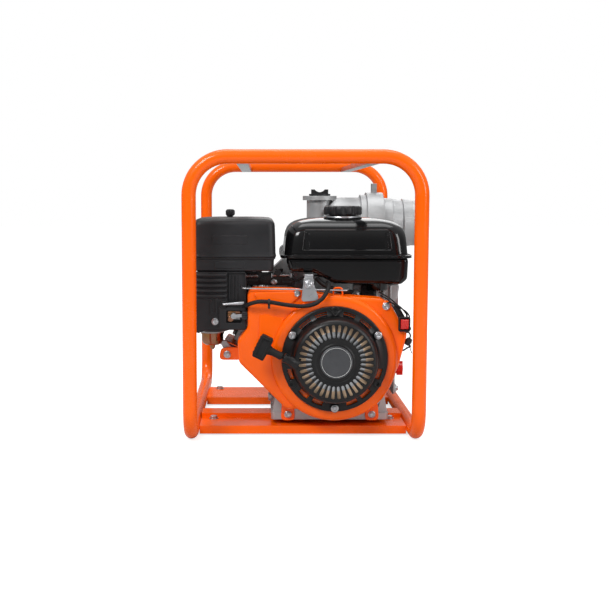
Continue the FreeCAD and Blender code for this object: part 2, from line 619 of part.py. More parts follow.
def intake():
    shell = prism(INTAKE_COVER, 62, 84)
    shell = shell.cut(inset_prism(INTAKE_COVER, 2.5, 64.5, 85))
    ribs = [box(-199, -146, 60, 62.5, z - 1.5, z + 1.5) for z in (303, 291, 279)]
    slot = box(-178.5, -171, 60, 66, 243, 272)
    window = box(-151, -120, 60, 66, 227, 247)
    shaft = rod(vec(CHOKE_PIVOT[0], 55, CHOKE_PIVOT[1]), ALONG_Y, 3.05, 20)
    nodes["intake_cover"] = cut_all(join([shell] + ribs), [slot, window, shaft])
    fasten("cover_bolts", 6, 16, [vec(-171.4, 62, 226.3)], ALONG_Y * -1, ["intake_cover"])
    body = box(-195, -152, 90, 122, 203, 247)
    body = upright_edges(body, 6)
    flange = box(-152, -146, 92, 117, 206, 246)
    throat = rod(vec(-172, 106, 247), ALONG_Z, 19, 5)
    deck = rod(vec(-178, 104, 200.5), ALONG_Z, 23, 3)
    nodes["carburettor"] = join([body, flange, throat, deck])
    nodes["carburettor_bowl"] = turned(
        [(0, 0), (14, 0), (19, 3), (21.5, 9), (21.5, 22), (23, 22), (23, 24.4), (0, 24.4)],
        vec(-178, 104, 176), ALONG_Z)
    drain = placed(hexagon(9, 7), vec(-178, 104, 176), ALONG_Z * -1)
    tip = rod(vec(-178, 104, 166.5), ALONG_Z, 3, 3)
    nodes["carburettor_bowl"] = join([nodes["carburettor_bowl"], drain, tip])
    manifold = box(-146, -108, 96, 118, 212, 242)
    nodes["cylinder_head"] = Part.makeCompound([nodes["cylinder_head"], manifold])
    px, pz = CHOKE_PIVOT
    arm = prism([(px - 5, pz - 3), (px + 33, pz + 1), (px + 33, pz + 5), (px - 2, pz + 5)], 56, 58)
    pad = box(px + 26, px + 35, 53, 58, pz + 0.5, pz + 5.5)
    pin = rod(vec(px, 56, pz), ALONG_Y, 3, 16)
    nodes["choke_lever"] = join([arm, rod(vec(px, 56, pz), ALONG_Y, 7, 2), pad, pin])
    cx, cz = COCK_PIVOT
    cock = join([box(cx - 12, cx + 12, 70, 90, cz - 8, cz + 8),
                 rod(vec(cx, 66, cz), ALONG_Y, 6.5, 8)])
    cock = cock.cut(rod(vec(cx, 65, cz), ALONG_Y, 3.05, 15))
    nodes["carburettor"] = Part.makeCompound([nodes["carburettor"], cock])
    nodes["fuel_cock_lever"] = join([
        rod(vec(cx, 57, cz), ALONG_Y, 3, 20),
        rod(vec(cx, 57, cz), ALONG_Y, 5.5, 3),
        prism([(cx - 3, cz - 3), (cx + 24, cz - 1), (cx + 24, cz + 5), (cx - 3, cz + 3)], 57, 60),
        box(cx + 17, cx + 25, 53, 60, cz - 4, cz + 8)])


THROTTLE_PIVOT = (-76.0, 303.0)
HOSE_ROUTE = [vec(-112.8, 61.5, 256), vec(-112.6, 45, 257.5), vec(-104, 34, 263.5),
              vec(-88, 30.5, 268.5), vec(-67, 30, 268), vec(-36, 29.5, 262), vec(-3, 29, 258.5),
              vec(20, 27, 263), vec(35, 26.5, 274), vec(44, 31, 288), vec(48, 44, 297.5), vec(48, 60, 300),
              vec(47, 78, 300)]


def controls():
    plate = box(-122, -22, 108, 110, 293.5, 320)
    foot = box(-122, -92, 108, 140, 320, 322)
    px, pz = THROTTLE_PIVOT
    plate = join([plate, foot])
    nodes["control_plate"] = plate.cut(rod(vec(px, 90, pz), ALONG_Y, 3.05, 30))
    nodes["throttle_lever"] = join([
        rod(vec(px, 101, pz), ALONG_Y, 3, 14),
        rod(vec(px, 104, pz), ALONG_Y, 8, 2),
        prism([(px - 4, pz - 6), (px + 30, pz + 12), (px + 27, pz + 17), (px - 6, pz + 6)], 104, 106),
        rod(vec(px + 27, 98, pz + 15), ALONG_Y, 6.5, 8)])
    link = swept([vec(-121, 60, 296), vec(-115, 43, 292), vec(84, 43, 288), vec(87, 60, 294)], 1.5, 4)
    turns = []
    for i in range(9):
        ring = Part.makeTorus(3.5, 0.8, vec(-114 + 3 * i, 102, 312), ALONG_X)
        turns.append(ring)
    core = rod(vec(-118, 102, 312), ALONG_X, 2.8, 32)
    nodes["governor_linkage"] = Part.makeCompound([link, join([core] + turns)])
    hose = swept(HOSE_ROUTE, 4)
    clip = pipe(vec(-69.5, 30, 268.5), ALONG_X, 6.5, 5, 5)
    clip = join([clip, box(-69.5, -64.5, 28.5, 31.5, 256, 263.2)])
    nodes["fuel_hose"] = Part.makeCompound([hose, clip])


# ---------------------------------------------------------------- electrics and oil

SWITCH_X = 192.0
SWITCH_Z = 224.0
SWITCH_PIN_Y = 35.0


def base_group():
    """Both cross rails in one node, once all their bolt holes are drilled."""
    rails_made = [nodes.pop("front_cross_rail"), nodes.pop("rear_cross_rail")]
    nodes["cross_rails"] = Part.makeCompound(rails_made)


def electrics():
    strip = prism([(170, 257), (180, 262), (207, 214), (198, 203)], 44, 47.8)
    body = box(SWITCH_X - 10, SWITCH_X + 10, 32, 44, SWITCH_Z - 13, SWITCH_Z + 13)
    pocket = box(SWITCH_X - 8, SWITCH_X + 8, 31, 42, SWITCH_Z - 11, SWITCH_Z + 11)
    pin_hole = rod(vec(SWITCH_X - 9.5, SWITCH_PIN_Y, SWITCH_Z), ALONG_X, 1.55, 19)
    nodes["engine_switch_body"] = join([body, strip]).cut(pocket).cut(pin_hole)
    rocker = prism([(SWITCH_X - 7.5, SWITCH_Z - 9.5), (SWITCH_X + 7.5, SWITCH_Z - 9.5),
                    (SWITCH_X + 7.5, SWITCH_Z + 9.5), (SWITCH_X - 7.5, SWITCH_Z + 9.5)], 29, 37)
    pivot = rod(vec(SWITCH_X - 9, SWITCH_PIN_Y, SWITCH_Z), ALONG_X, 1.5, 18)
    nodes["engine_switch_rocker"] = join([rocker, pivot])
    harness = [vec(150, 70, 283), vec(156, 55, 281), vec(165, 44, 275), vec(176, 38, 265),
               vec(185, 37, 253), vec(190, 38, 239)]
    coil = box(122, 146, 66, 88, 238, 254)
    nodes["ignition_coil"] = coil
    lead = [vec(206, 52, 210), vec(212, 60, 202), vec(212, 76, 192), vec(210, 94, 184),
            vec(204, 112, 174), vec(196, 128, 164), vec(186, 140, 156), vec(169, 150, 152)]
    nodes["wire_harness"] = Part.makeCompound([swept(harness, 3), swept(lead, 3.2)])
    cap_x = 183.0
    stick = rod(vec(cap_x - 60, 150, 121), ALONG_X, 3, 62)
    plug = rod(vec(cap_x - 12, 150, 121), ALONG_X, 8.94, 14)
    rim = rod(vec(cap_x + 0.4, 150, 121), ALONG_X, 15, 6)
    nose = rod(vec(cap_x + 6.4, 150, 121), ALONG_X, 11, 15)
    grip_bar = box(cap_x + 10, cap_x + 22, 147, 153, 107, 135)
    nodes["oil_filler_cap"] = join([stick, plug, rim, nose, grip_bar])
    nodes["crankcase"] = join([nodes["crankcase"], box(-60, -36, 186, 210, 41, 66)])
    fasten("drain_plugs", 10, 12, [vec(-60, 198, 53.5)], ALONG_X * -1, ["crankcase"])
    for x in FOOT_BOLT_X:
        seats = [vec(x, y, 41) for y in FOOT_BOLT_Y]
        fasten("base_bolts", 10, 18, seats, ALONG_Z, ["crankcase", "front_cross_rail"])


# ---------------------------------------------------------------- exhaust

MUFFLER = (-208.0, -78.0, 246.0, 345.0, 238.0, 392.0)


def exhaust():
    x0, x1, y0, y1, z0, z1 = MUFFLER
    can = rounded_box(x0 + 6, x1 - 6, y0 + 6, y1 - 6, z0 + 6, z1 - 6, 18)
    elbow = rod(vec(-95, 242, 250), ALONG_Y, 16, 14)
    outlet = rod(vec(-196, 295, 285), vec(-1, 0, 0), 13, 22)
    outlet_bore = rod(vec(-202, 295, 285), vec(-1, 0, 0), 11, 20)
    nodes["muffler"] = join([can, elbow, outlet]).cut(outlet_bore)
    guard = box(x0 + 2, x1 - 2, y1 - 5, y1 - 3, z0 + 4, z1 - 4)
    holes = []
    for row in range(6):
        for column in range(5):
            holes.append(rod(vec(x0 + 25 + 20 * column, y1 - 8, z0 + 24 + 21 * row), ALONG_Y, 6, 10))
    top = box(x0 + 2, x1 - 2, y0 + 14, y1 - 3, z1 - 5, z1 - 3)
    side = box(x0 + 2, x0 + 4, y0 + 14, y1 - 3, z0 + 4, z1 - 4)
    around_outlet = rod(vec(x0 - 10, 295, 285), ALONG_X, 18, 20)
    nodes["muffler_guard"] = cut_all(join([guard, top, side]), holes + [around_outlet])


# ---------------------------------------------------------------- pump

def casing_outline(inset):
    """Round below the shaft line, straight sides, and a narrower chamber on top."""
    r = PUMP_R - inset
    cx = CRANK_X
    left = cx - r
    right = cx + r
    top = 396 - inset
    edges = [Part.Arc(vec(left, 0, CRANK_Z), vec(cx, 0, CRANK_Z - r), vec(right, 0, CRANK_Z)).toShape()]
    ring = [(right, CRANK_Z), (right, 300), (cx + 82 - inset, 340), (cx + 70 - inset, top),
            (cx - 62 + inset, top), (cx - 76 + inset, 340), (left, 300), (left, CRANK_Z)]
    for a, b in zip(ring, ring[1:]):
        edges.append(Part.LineSegment(vec(a[0], 0, a[1]), vec(b[0], 0, b[1])).toShape())
    return Part.Face(Part.Wire(edges))


def casing_prism(inset, y0, y1):
    solid = casing_outline(inset).extrude(vec(0, y1 - y0, 0))
    solid.translate(vec(0, y0, 0))
    return solid


def pump():
    front, back = PUMP_Y
    bracket = turned([(13.5, 300), (70, 300), (70, 308), (44, 314), (44, 340), (60, 350),
                      (40, 350), (30, 322), (30, 312), (13.5, 312)], crank(0))
    plate = casing_prism(-8, front - 12, front)
    plate = plate.cut(rod(crank(front - 20), ALONG_Y, 26, 40))
    windows = [box(30, 88, 316, 336, 196, 215)]
    nodes["pump_bracket"] = cut_all(join([bracket, plate]), windows)
    seal_body = pipe(crank(front - 12), ALONG_Y, 25.9, 18, 14)
    seal_face = pipe(crank(front - 12), ALONG_Y, 20, 14, 4)
    seal = join([seal_body, seal_face])
    nodes["bearings_and_seal"] = Part.makeCompound(nodes.pop("crank_bearings").Solids + [seal])
    shell = casing_prism(0, front, back)
    rim = casing_prism(-8, front, front + 10)
    feet = [box(x - 16, x + 16, 385, 470, RAIL_TOP, 80) for x in (CRANK_X - 58, CRANK_X + 58)]
    inlet_boss = rod(vec(CRANK_X, back - 2, IN_Z), ALONG_Y, 82, 10)
    drain_boss = rod(vec(CRANK_X, back - 4, 60), ALONG_Y, 17, 12)
    fill = rod(vec(FILL_X, FILL_Y, 390), ALONG_Z, 29, 69)
    fill_rim = rod(vec(FILL_X, FILL_Y, 459), ALONG_Z, 38, 9.6)
    out_boss = rod(vec(CRANK_X + 30, OUT_Y, OUT_Z - 8), ALONG_X, 46, 46)
    out_boss = out_boss.common(box(0, 200, 300, 500, 300, 396))
    outer = join([shell, rim, inlet_boss, drain_boss, fill, fill_rim, out_boss] + feet)
    hollow = casing_prism(7, front - 1, back - 8)
    inlet = rod(vec(CRANK_X, back - 12, IN_Z), ALONG_Y, 44, 30)
    drain = rod(vec(CRANK_X, back - 12, 60), ALONG_Y, 8.1, 30)
    fill_bore = rod(vec(FILL_X, FILL_Y, 380), ALONG_Z, 22, 100)
    outlet = box(92, 121, OUT_Y - 38, OUT_Y + 38, 380, 398)
    nodes["pump_casing"] = cut_all(outer, [hollow, inlet, drain, fill_bore, outlet])
    scroll = turned([(80, front + 0.5), (98, front + 0.5), (98, 432), (46, 432), (46, 424), (80, 424)],
                    crank(0))
    mouth = box(CRANK_X + 40, CRANK_X + 90, front + 8, 420, CRANK_Z + 20, CRANK_Z + 110)
    nodes["volute"] = scroll.cut(mouth)
    seats = []
    for x, z in ((-69, 120), (-69, 200), (-69, 280), (187, 120), (187, 200), (187, 280), (4, 40),
                 (114, 40), (-30, 350)):
        seats.append(vec(x, front + 10, z))
    ears = [rod(vec(s.x, front, s.z), ALONG_Y, 12, 10).cut(casing_prism(0, front - 1, back)) for s in seats]
    behind = casing_prism(-8, front - 13, front + 1)
    back_ears = [rod(vec(s.x, front - 12, s.z), ALONG_Y, 12, 12).cut(behind) for s in seats]
    nodes["pump_casing"] = join([nodes["pump_casing"]] + ears)
    nodes["pump_bracket"] = join([nodes["pump_bracket"]] + back_ears)
    fasten("casing_bolts", 8, 21, seats, ALONG_Y, ["pump_casing", "pump_bracket"])
    foot_seats = [vec(x, y, 80) for x in (CRANK_X - 85, CRANK_X + 85) for y in (400.0, 455.0)]
    toes = [box(s.x - 12, s.x + 12, s.y - 14, s.y + 14, RAIL_TOP, 32) for s in foot_seats]
    nodes["pump_casing"] = join([nodes["pump_casing"]] + toes)
    for seat in foot_seats:
        seat.z = 32
    fasten("base_bolts", 8, 17, foot_seats, ALONG_Z, ["pump_casing", "rear_cross_rail"])
    fasten("drain_plugs", 16, 10, [vec(CRANK_X, back + 8, 60)], ALONG_Y, [])


def barb(base, direction, start, end):
    """Hose tail: a stepped cone with ridges, and a plain seat before its mouth."""
    reach = end - start
    profile = [(44, 0), (66, 0), (66, 4), (PORT_R + 5, 6), (PORT_R + 4.5, reach * 0.44)]
    for i in range(2):
        at = reach * (0.44 + 0.18 * i)
        profile.append((PORT_R + 3.4, at + 1.5))
        profile.append((PORT_R, at + reach * 0.17))
    profile.append((PORT_R, reach - 3))
    profile.append((PORT_R - 2, reach))
    profile.append((PORT_R - 5, reach))
    profile.append((PORT_R - 5, 4))
    profile.append((44, 4))
    return turned(profile, base + direction * start, direction)


def union_nut(base, direction, start, length):
    """Coupling nut with drive lugs, loose on the hose tail's collar."""
    ring = pipe(base + direction * start, direction, NUT_R, 66.3, length)
    front = pipe(base + direction * (start + length - 6), direction, NUT_R, PORT_R + 6.5, 6)
    lugs = []
    side = ALONG_Z if abs(direction.z) < 0.5 else ALONG_X
    for i in range(4):
        lug = Part.makeBox(12, 12, 24, vec(-6, -6, NUT_R - 4))
        lug.Placement = FreeCAD.Placement(base + direction * (start + length / 2),
                                          FreeCAD.Rotation(direction, 90 * i))
        lugs.append(lug)
    lug_cut = rod(base + direction * (start - 1), direction, NUT_R - 1, length + 2)
    lugs = [lug.cut(lug_cut) for lug in lugs]
    return join([ring, front] + lugs)


def ports():
    back = PUMP_Y[1] + 8
    suction = vec(CRANK_X, 0, IN_Z)
    flange = turned([(44, back), (82, back), (82, back + 12), (62, back + 12), (60, back + 16),
                     (60, back + 50), (64, back + 52), (64, back + 60), (44, back + 60)], suction, ALONG_Y)
    nodes["suction_flange"] = flange
    pin_y = PUMP_Y[1] - 12
    wall_y = PUMP_Y[1] - 8
    flap = rod(vec(CRANK_X, pin_y - 2, IN_Z), ALONG_Y, 50, 5.5)
    knuckle = rod(vec(CRANK_X - 14, pin_y, FLAP_Z), ALONG_X, 3.4, 28)
    web = box(CRANK_X - 14, CRANK_X + 14, pin_y - 2, pin_y + 3.4, IN_Z + 40, FLAP_Z)
    flap_hole = rod(vec(CRANK_X - 15, pin_y, FLAP_Z), ALONG_X, 1.55, 30)
    nodes["check_valve_flap"] = join([flap, knuckle, web]).cut(flap_hole)
    hinge = [rod(vec(CRANK_X - 22, pin_y, FLAP_Z), ALONG_X, 1.5, 44)]
    for x in (CRANK_X - 22, CRANK_X + 16):
        hinge.append(box(x, x + 6, pin_y - 3, wall_y, FLAP_Z - 3, FLAP_Z + 3))
    nodes["pump_casing"] = join([nodes["pump_casing"]] + hinge)
    tails = [barb(suction, ALONG_Y, back + 60.2, IN_END)]
    nodes["suction_nut"] = union_nut(suction, ALONG_Y, back + 53, 24)
    seats = []
    for i in range(4):
        a = math.radians(45 + 90 * i)
        seats.append(vec(CRANK_X + 73 * math.cos(a), back + 12, IN_Z + 73 * math.sin(a)))
    fasten("casing_bolts", 8, 18, seats, ALONG_Y, ["suction_flange", "pump_casing"])
    outlet = vec(0, OUT_Y, OUT_Z)
    start = 140.0
    elbow = rod(vec(96, OUT_Y, OUT_Z), ALONG_X, 57, start - 96)
    seat_ring = rod(vec(start, OUT_Y, OUT_Z), ALONG_X, 63, 13)
    crown = Part.makeSphere(57, vec(96, OUT_Y, OUT_Z))
    keep = box(20, 160, 340, 490, 396, 480)
    upper = join([elbow, crown]).common(keep)
    tube_low = join([elbow, crown]).common(box(129.2, 160, 340, 490, 340, 396.1))
    bore = rod(vec(90, OUT_Y, OUT_Z), ALONG_X, 46, 90)
    filler = rod(vec(FILL_X, FILL_Y, 390), ALONG_Z, 38.4, 80)
    elbow_body = join([upper, tube_low, seat_ring]).cut(bore).cut(filler)
    elbow_body = elbow_body.cut(nodes["pump_casing"]).cut(nodes["pump_bracket"])
    nodes["discharge_elbow"] = max(elbow_body.Solids, key=lambda s: s.Volume)
    tails.append(barb(outlet, ALONG_X, start + 13.2, OUT_END))
    nodes["hose_tails"] = Part.makeCompound(tails)
    nodes["discharge_nut"] = union_nut(outlet, ALONG_X, start + 13.1, 37)
    plug = join([rod(vec(FILL_X, FILL_Y, 440), ALONG_Z, 21.94, 29),
                 rod(vec(FILL_X, FILL_Y, 469), ALONG_Z, 24, 4),
                 box(FILL_X - 19, FILL_X + 19, FILL_Y - 6, FILL_Y + 6, 471, 483)])
    plug = plug.cut(rod(vec(FILL_X, FILL_Y - 10, 491), ALONG_Y, 14, 20))
    nodes["priming_plug"] = plug


# ---------------------------------------------------------------- build

def build():
    frame()
    rails()
    crankcase()
    cylinder()
    fan_cover()
    recoil()
    grip()
    rotor()
    fuel_tank()
    tank_supports()
    air_cleaner()
    intake()
    controls()
    electrics()
    exhaust()
    pump()
    ports()
    base_group()


def export():
    os.makedirs("parts", exist_ok=True)
    for name, shape in nodes.items():
        moved = shape.copy()
        moved.translate(vec(-MID_X, -MID_Y, 0))
        moved.exportStep("parts/" + name + ".step")


build()
export()
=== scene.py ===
import json
from math import copysign, cos, degrees, pi, radians, sin, sqrt, tan

import bmesh
import bpy
from mathutils import Matrix, Vector


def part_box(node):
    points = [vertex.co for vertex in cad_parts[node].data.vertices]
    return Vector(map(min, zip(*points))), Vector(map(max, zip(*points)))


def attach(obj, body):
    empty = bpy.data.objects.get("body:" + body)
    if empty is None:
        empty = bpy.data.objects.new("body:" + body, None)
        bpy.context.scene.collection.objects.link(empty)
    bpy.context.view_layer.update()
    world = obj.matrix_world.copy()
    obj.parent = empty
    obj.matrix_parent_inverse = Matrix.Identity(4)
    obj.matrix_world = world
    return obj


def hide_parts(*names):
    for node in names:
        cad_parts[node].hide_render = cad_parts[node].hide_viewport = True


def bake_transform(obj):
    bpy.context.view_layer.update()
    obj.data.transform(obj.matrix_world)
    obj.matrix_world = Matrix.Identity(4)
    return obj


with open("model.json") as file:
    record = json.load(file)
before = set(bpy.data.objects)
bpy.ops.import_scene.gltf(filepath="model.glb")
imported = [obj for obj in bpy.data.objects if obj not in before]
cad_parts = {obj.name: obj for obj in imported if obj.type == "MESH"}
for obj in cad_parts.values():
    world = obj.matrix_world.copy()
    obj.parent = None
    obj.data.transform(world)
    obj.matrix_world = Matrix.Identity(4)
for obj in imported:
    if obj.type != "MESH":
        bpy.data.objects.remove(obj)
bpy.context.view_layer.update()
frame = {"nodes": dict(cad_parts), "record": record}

# The CAD's own layout, in millimetres: x from the frame's centre plane, y from the front
# hoop's plane and z from the ground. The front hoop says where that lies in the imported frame.
HOOP_HALF_WIDTH = 0.230
TUBE_R = 0.01345
HOOP_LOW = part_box("front_frame_hoop")[0]
OFF_X = HOOP_LOW[0] + HOOP_HALF_WIDTH
OFF_Y = HOOP_LOW[1] + TUBE_R
CRANK = (59, 157)
SHAFT = (CRANK[0], 0, CRANK[1])
ALONG_X = Vector((1, 0, 0))
ALONG_Y = Vector((0, 1, 0))
ALONG_Z = Vector((0, 0, 1))
TO_FRONT = -ALONG_Y


def place(x, y, z):
    return Vector((OFF_X + x / 1000, OFF_Y + y / 1000, z / 1000))


# ---- materials

def fill(shader, **inputs):
    for key, value in inputs.items():
        shader.inputs[key.replace("_", " ")].default_value = value


def node(tree, kind, **inputs):
    made = tree.nodes.new(kind)
    fill(made, **inputs)
    return made


def noise(tree, coords, scale, detail=4):
    n = node(tree, "ShaderNodeTexNoise", Scale=scale, Detail=detail, Roughness=0.55)
    tree.links.new(coords, n.inputs["Vector"])
    return n.outputs["Fac"]


def span(tree, value, low, high, to_low, to_high):
    n = tree.nodes.new("ShaderNodeMapRange")
    for key, number in (("From Min", low), ("From Max", high), ("To Min", to_low), ("To Max", to_high)):
        n.inputs[key].default_value = number
    tree.links.new(value, n.inputs["Value"])
    return n.outputs["Result"]


def arith(tree, kind, a, b):
    n = tree.nodes.new("ShaderNodeMath")
    n.operation = kind
    for i, item in enumerate((a, b)):
        if isinstance(item, (int, float)):
            n.inputs[i].default_value = item
        else:
            tree.links.new(item, n.inputs[i])
    return n.outputs[0]


def blend_colour(tree, factor, a, b):
    n = tree.nodes.new("ShaderNodeMix")
    n.data_type = "RGBA"
    tree.links.new(factor, n.inputs[0])
    for slot_index, item in ((6, a), (7, b)):
        if isinstance(item, tuple):
            n.inputs[slot_index].default_value = (*item, 1)
        else:
            tree.links.new(item, n.inputs[slot_index])
    return n.outputs[2]


def put(name, data):
    obj = bpy.data.objects.new(name, data)
    bpy.context.collection.objects.link(obj)
    return obj


def shaded(colour, amount):
    return tuple(max(0, min(1, c * (1 + amount))) for c in colour)


def material(name, colour, rough, metal=0, vary=0.15, patch=18, grain=900, bump=0.1, depth=0.0004,
             edge=0.0008, wear=None, wear_amount=0.5, coat=0, rough_vary=0.08, weave=None,
             painted_reflection_tint=None, spec=0.5):
    """Colour drifts with patch noise, roughness and bump follow a fine grain, and edges wear."""
    mat = bpy.data.materials.new(name)
    mat.use_nodes = True
    tree = mat.node_tree
    link = tree.links.new
    bsdf = tree.nodes["Principled BSDF"]
    coords = tree.nodes.new("ShaderNodeTexCoord").outputs["Object"]
    broad = noise(tree, coords, patch)
    fine = noise(tree, coords, grain, 3)
    tint = span(tree, broad, 0.32, 0.68, 0, 1)
    # When a second colour is given, the patches drift towards it as a painted reflection tint instead of a lighter
    # tone.
    base = blend_colour(tree, tint, shaded(colour, -vary), painted_reflection_tint or shaded(colour, vary))
    speck = span(tree, fine, 0.3, 0.7, 0, 0.5)
    base = blend_colour(tree, speck, base, shaded(colour, -vary * 1.5))
    low, high = rough - rough_vary, rough + rough_vary
    roughness = span(tree, arith(tree, "ADD", broad, arith(tree, "MULTIPLY", fine, 0.5)), 0.5, 1, low, high)
    bevel = node(tree, "ShaderNodeBevel", Radius=edge)
    bevel.samples = 4
    if wear:
        geometry = tree.nodes.new("ShaderNodeNewGeometry")
        dot = tree.nodes.new("ShaderNodeVectorMath")
        dot.operation = "DOT_PRODUCT"
        link(bevel.outputs[0], dot.inputs[0])
        link(geometry.outputs["Normal"], dot.inputs[1])
        edge_mask = span(tree, dot.outputs["Value"], 0.975, 0.85, 0, 1)
        worn = arith(tree, "MULTIPLY", edge_mask, span(tree, noise(tree, coords, 140), 0.42, 0.62, 0, wear_amount))
        base = blend_colour(tree, worn, base, wear)
    link(base, bsdf.inputs["Base Color"])
    link(roughness, bsdf.inputs["Roughness"])
    fill(bsdf, Metallic=metal, Specular_IOR_Level=spec, Coat_Weight=coat, Coat_Roughness=0.06)
    height = fine
    if weave:
        wave = node(tree, "ShaderNodeTexWave", Scale=weave, Distortion=1.5)
        wave.bands_direction = "DIAGONAL"
        link(coords, wave.inputs["Vector"])
        height = arith(tree, "ADD", wave.outputs["Fac"], arith(tree, "MULTIPLY", fine, 0.3))
    relief = node(tree, "ShaderNodeBump", Strength=bump, Distance=depth)
    link(height, relief.inputs["Height"])
    link(bevel.outputs[0], relief.inputs["Normal"])
    link(relief.outputs[0], bsdf.inputs["Normal"])
    return mat


ORANGE = (0.98, 0.122, 0)
MATS = {
    "frame_paint": material(
        "powder_coat_orange", ORANGE, 0.24, vary=0.04, patch=9, grain=420, edge=0.0012,
        wear=(0.97, 0.26, 0.04), wear_amount=0.4, coat=0.25, spec=0.2),
    "zinc_steel": material(
        "bright_zinc", (0.5, 0.51, 0.53), 0.3, metal=1, vary=0.06, patch=60, grain=1500, bump=0.04,
        edge=0.0004, wear=(0.7, 0.7, 0.7), rough_vary=0.04),
    "cast_aluminium": material(
        "sand_cast_aluminium", (0.43, 0.435, 0.44), 0.44, metal=0.6, vary=0.1, patch=30, grain=1100,
        bump=0.4, depth=0.0006, edge=0.0018, wear=(0.62, 0.63, 0.64), rough_vary=0.1),
    "cast_iron": material(
        "rough_cast_iron", (0.1, 0.1, 0.1), 0.6, metal=0.7, vary=0.25, patch=40, grain=700, bump=0.5,
        depth=0.0008, edge=0.001, wear=(0.3, 0.3, 0.3)),
    "black_paint": material(
        "black_enamel", (0.004, 0.004, 0.0045), 0.12, vary=0.2, patch=12, grain=300, bump=0.03,
        edge=0.0012, wear=(0.06, 0.06, 0.06), wear_amount=0.3, coat=0.2, rough_vary=0.04, spec=0.28),
    "black_steel": material(
        "satin_black", (0.008, 0.008, 0.009), 0.36, vary=0.25, patch=40, grain=800, bump=0.15,
        wear=(0.14, 0.14, 0.14), spec=0.35),
    "black_plastic": material(
        "moulded_black", (0.014, 0.014, 0.016), 0.46, vary=0.2, patch=26, grain=2200, bump=0.3,
        depth=0.0003, edge=0.001, wear=(0.06, 0.06, 0.065), spec=0.35),
    "starter_plastic": material(
        "starter_black", (0.005, 0.005, 0.0055), 0.36, vary=0.2, patch=30, grain=2200, bump=0.2,
        depth=0.0003, edge=0.001, wear=(0.05, 0.05, 0.055), spec=0.35),
    "black_rubber": material(
        "black_rubber", (0.007, 0.007, 0.0075), 0.6, vary=0.25, patch=60, grain=1600, bump=0.3,
        wear=(0.04, 0.04, 0.04), spec=0.3),
    "badge_metal": material(
        "badge_grey", (0.07, 0.072, 0.078), 0.34, metal=0.5, vary=0.08, patch=60, grain=1800, bump=0.12,
        edge=0.0004, wear=(0.4, 0.4, 0.4)),
    "red_plastic": material(
        "red_gloss", (0.72, 0.012, 0.008), 0.25, vary=0.1, patch=80, grain=1200, bump=0.08,
        wear=(0.85, 0.2, 0.15), coat=0.4),
    # The pinkish second colour is a painted pink reflection, laid over the yellow zinc in broad patches.
    "yellow_zinc": material(
        "yellow_passivate", (0.34, 0.16, 0.05), 0.2, metal=1, vary=0.2, patch=70, grain=1300,
        edge=0.0005, wear=(0.8, 0.7, 0.45), painted_reflection_tint=(0.42, 0.2, 0.16)),
    "rope": material(
        "braided_rope", (0.03, 0.03, 0.034), 0.8, vary=0.25, patch=200, grain=1800, bump=0.8,
        depth=0.0006, weave=420),
    "filter_paper": material(
        "pleated_paper", (0.62, 0.5, 0.28), 0.85, vary=0.1, patch=50, grain=1500, bump=0.4, weave=160),
    "nylon": material(
        "natural_nylon", (0.78, 0.55, 0.36), 0.55, vary=0.18, patch=70, grain=1400, bump=0.2,
        wear=(0.6, 0.45, 0.28)),
    "pale_ring": material("pale_print", (0.62, 0.63, 0.62), 0.45, vary=0.06, patch=80, grain=1200, bump=0.05),
}


# ---- mesh helpers

BEVEL_ANGLE = radians(32)
SHARP_ANGLE = radians(45)
CUT_ANGLE = radians(35)
ARC_STEPS = 8


def finish(build, name, mat, body="frame", replaces=None, bevel=0, solid=0):
    """Makes the mesh, gives it its material and rounding, attaches it to what it rides on and hides the CAD part it
    replaces.
    """
    obj = build.make(name)
    obj.data.materials.append(MATS[mat])
    for face in obj.data.polygons:
        face.use_smooth = True
    if solid:
        wall = obj.modifiers.new("wall", "SOLIDIFY")
        wall.thickness = solid / 1000
        wall.offset = -1
    if bevel:
        rounding = obj.modifiers.new("rounding", "BEVEL")
        rounding.width = bevel / 1000
        rounding.segments = 3
        rounding.limit_method = "ANGLE"
        rounding.angle_limit = BEVEL_ANGLE
    obj.data.set_sharp_from_angle(angle=SHARP_ANGLE)
    flats = obj.modifiers.new("flats", "WEIGHTED_NORMAL")
    flats.keep_sharp = True
    flats.weight = 80
    if body:
        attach(obj, body)
    if replaces:
        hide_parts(replaces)
    return obj


def around(side, other, share):
    """A unit step at a share of a whole turn from one direction to another."""
    a = 2 * pi * share
    return side * cos(a) + other * sin(a)


def round_shaft(r, degrees, y):
    """A point at a radius and an angle round the crankshaft."""
    a = radians(degrees)
    return (CRANK[0] + r * cos(a), y, CRANK[1] + r * sin(a))


def lobed(centre, z, count, radius_at):
    """A level ring whose radius changes with the angle."""
    ring = []
    for k in range(count):
        a = 2 * pi * k / count
        r = radius_at(a)
        ring.append((centre[0] + r * cos(a), centre[1] + r * sin(a), z))
    return ring


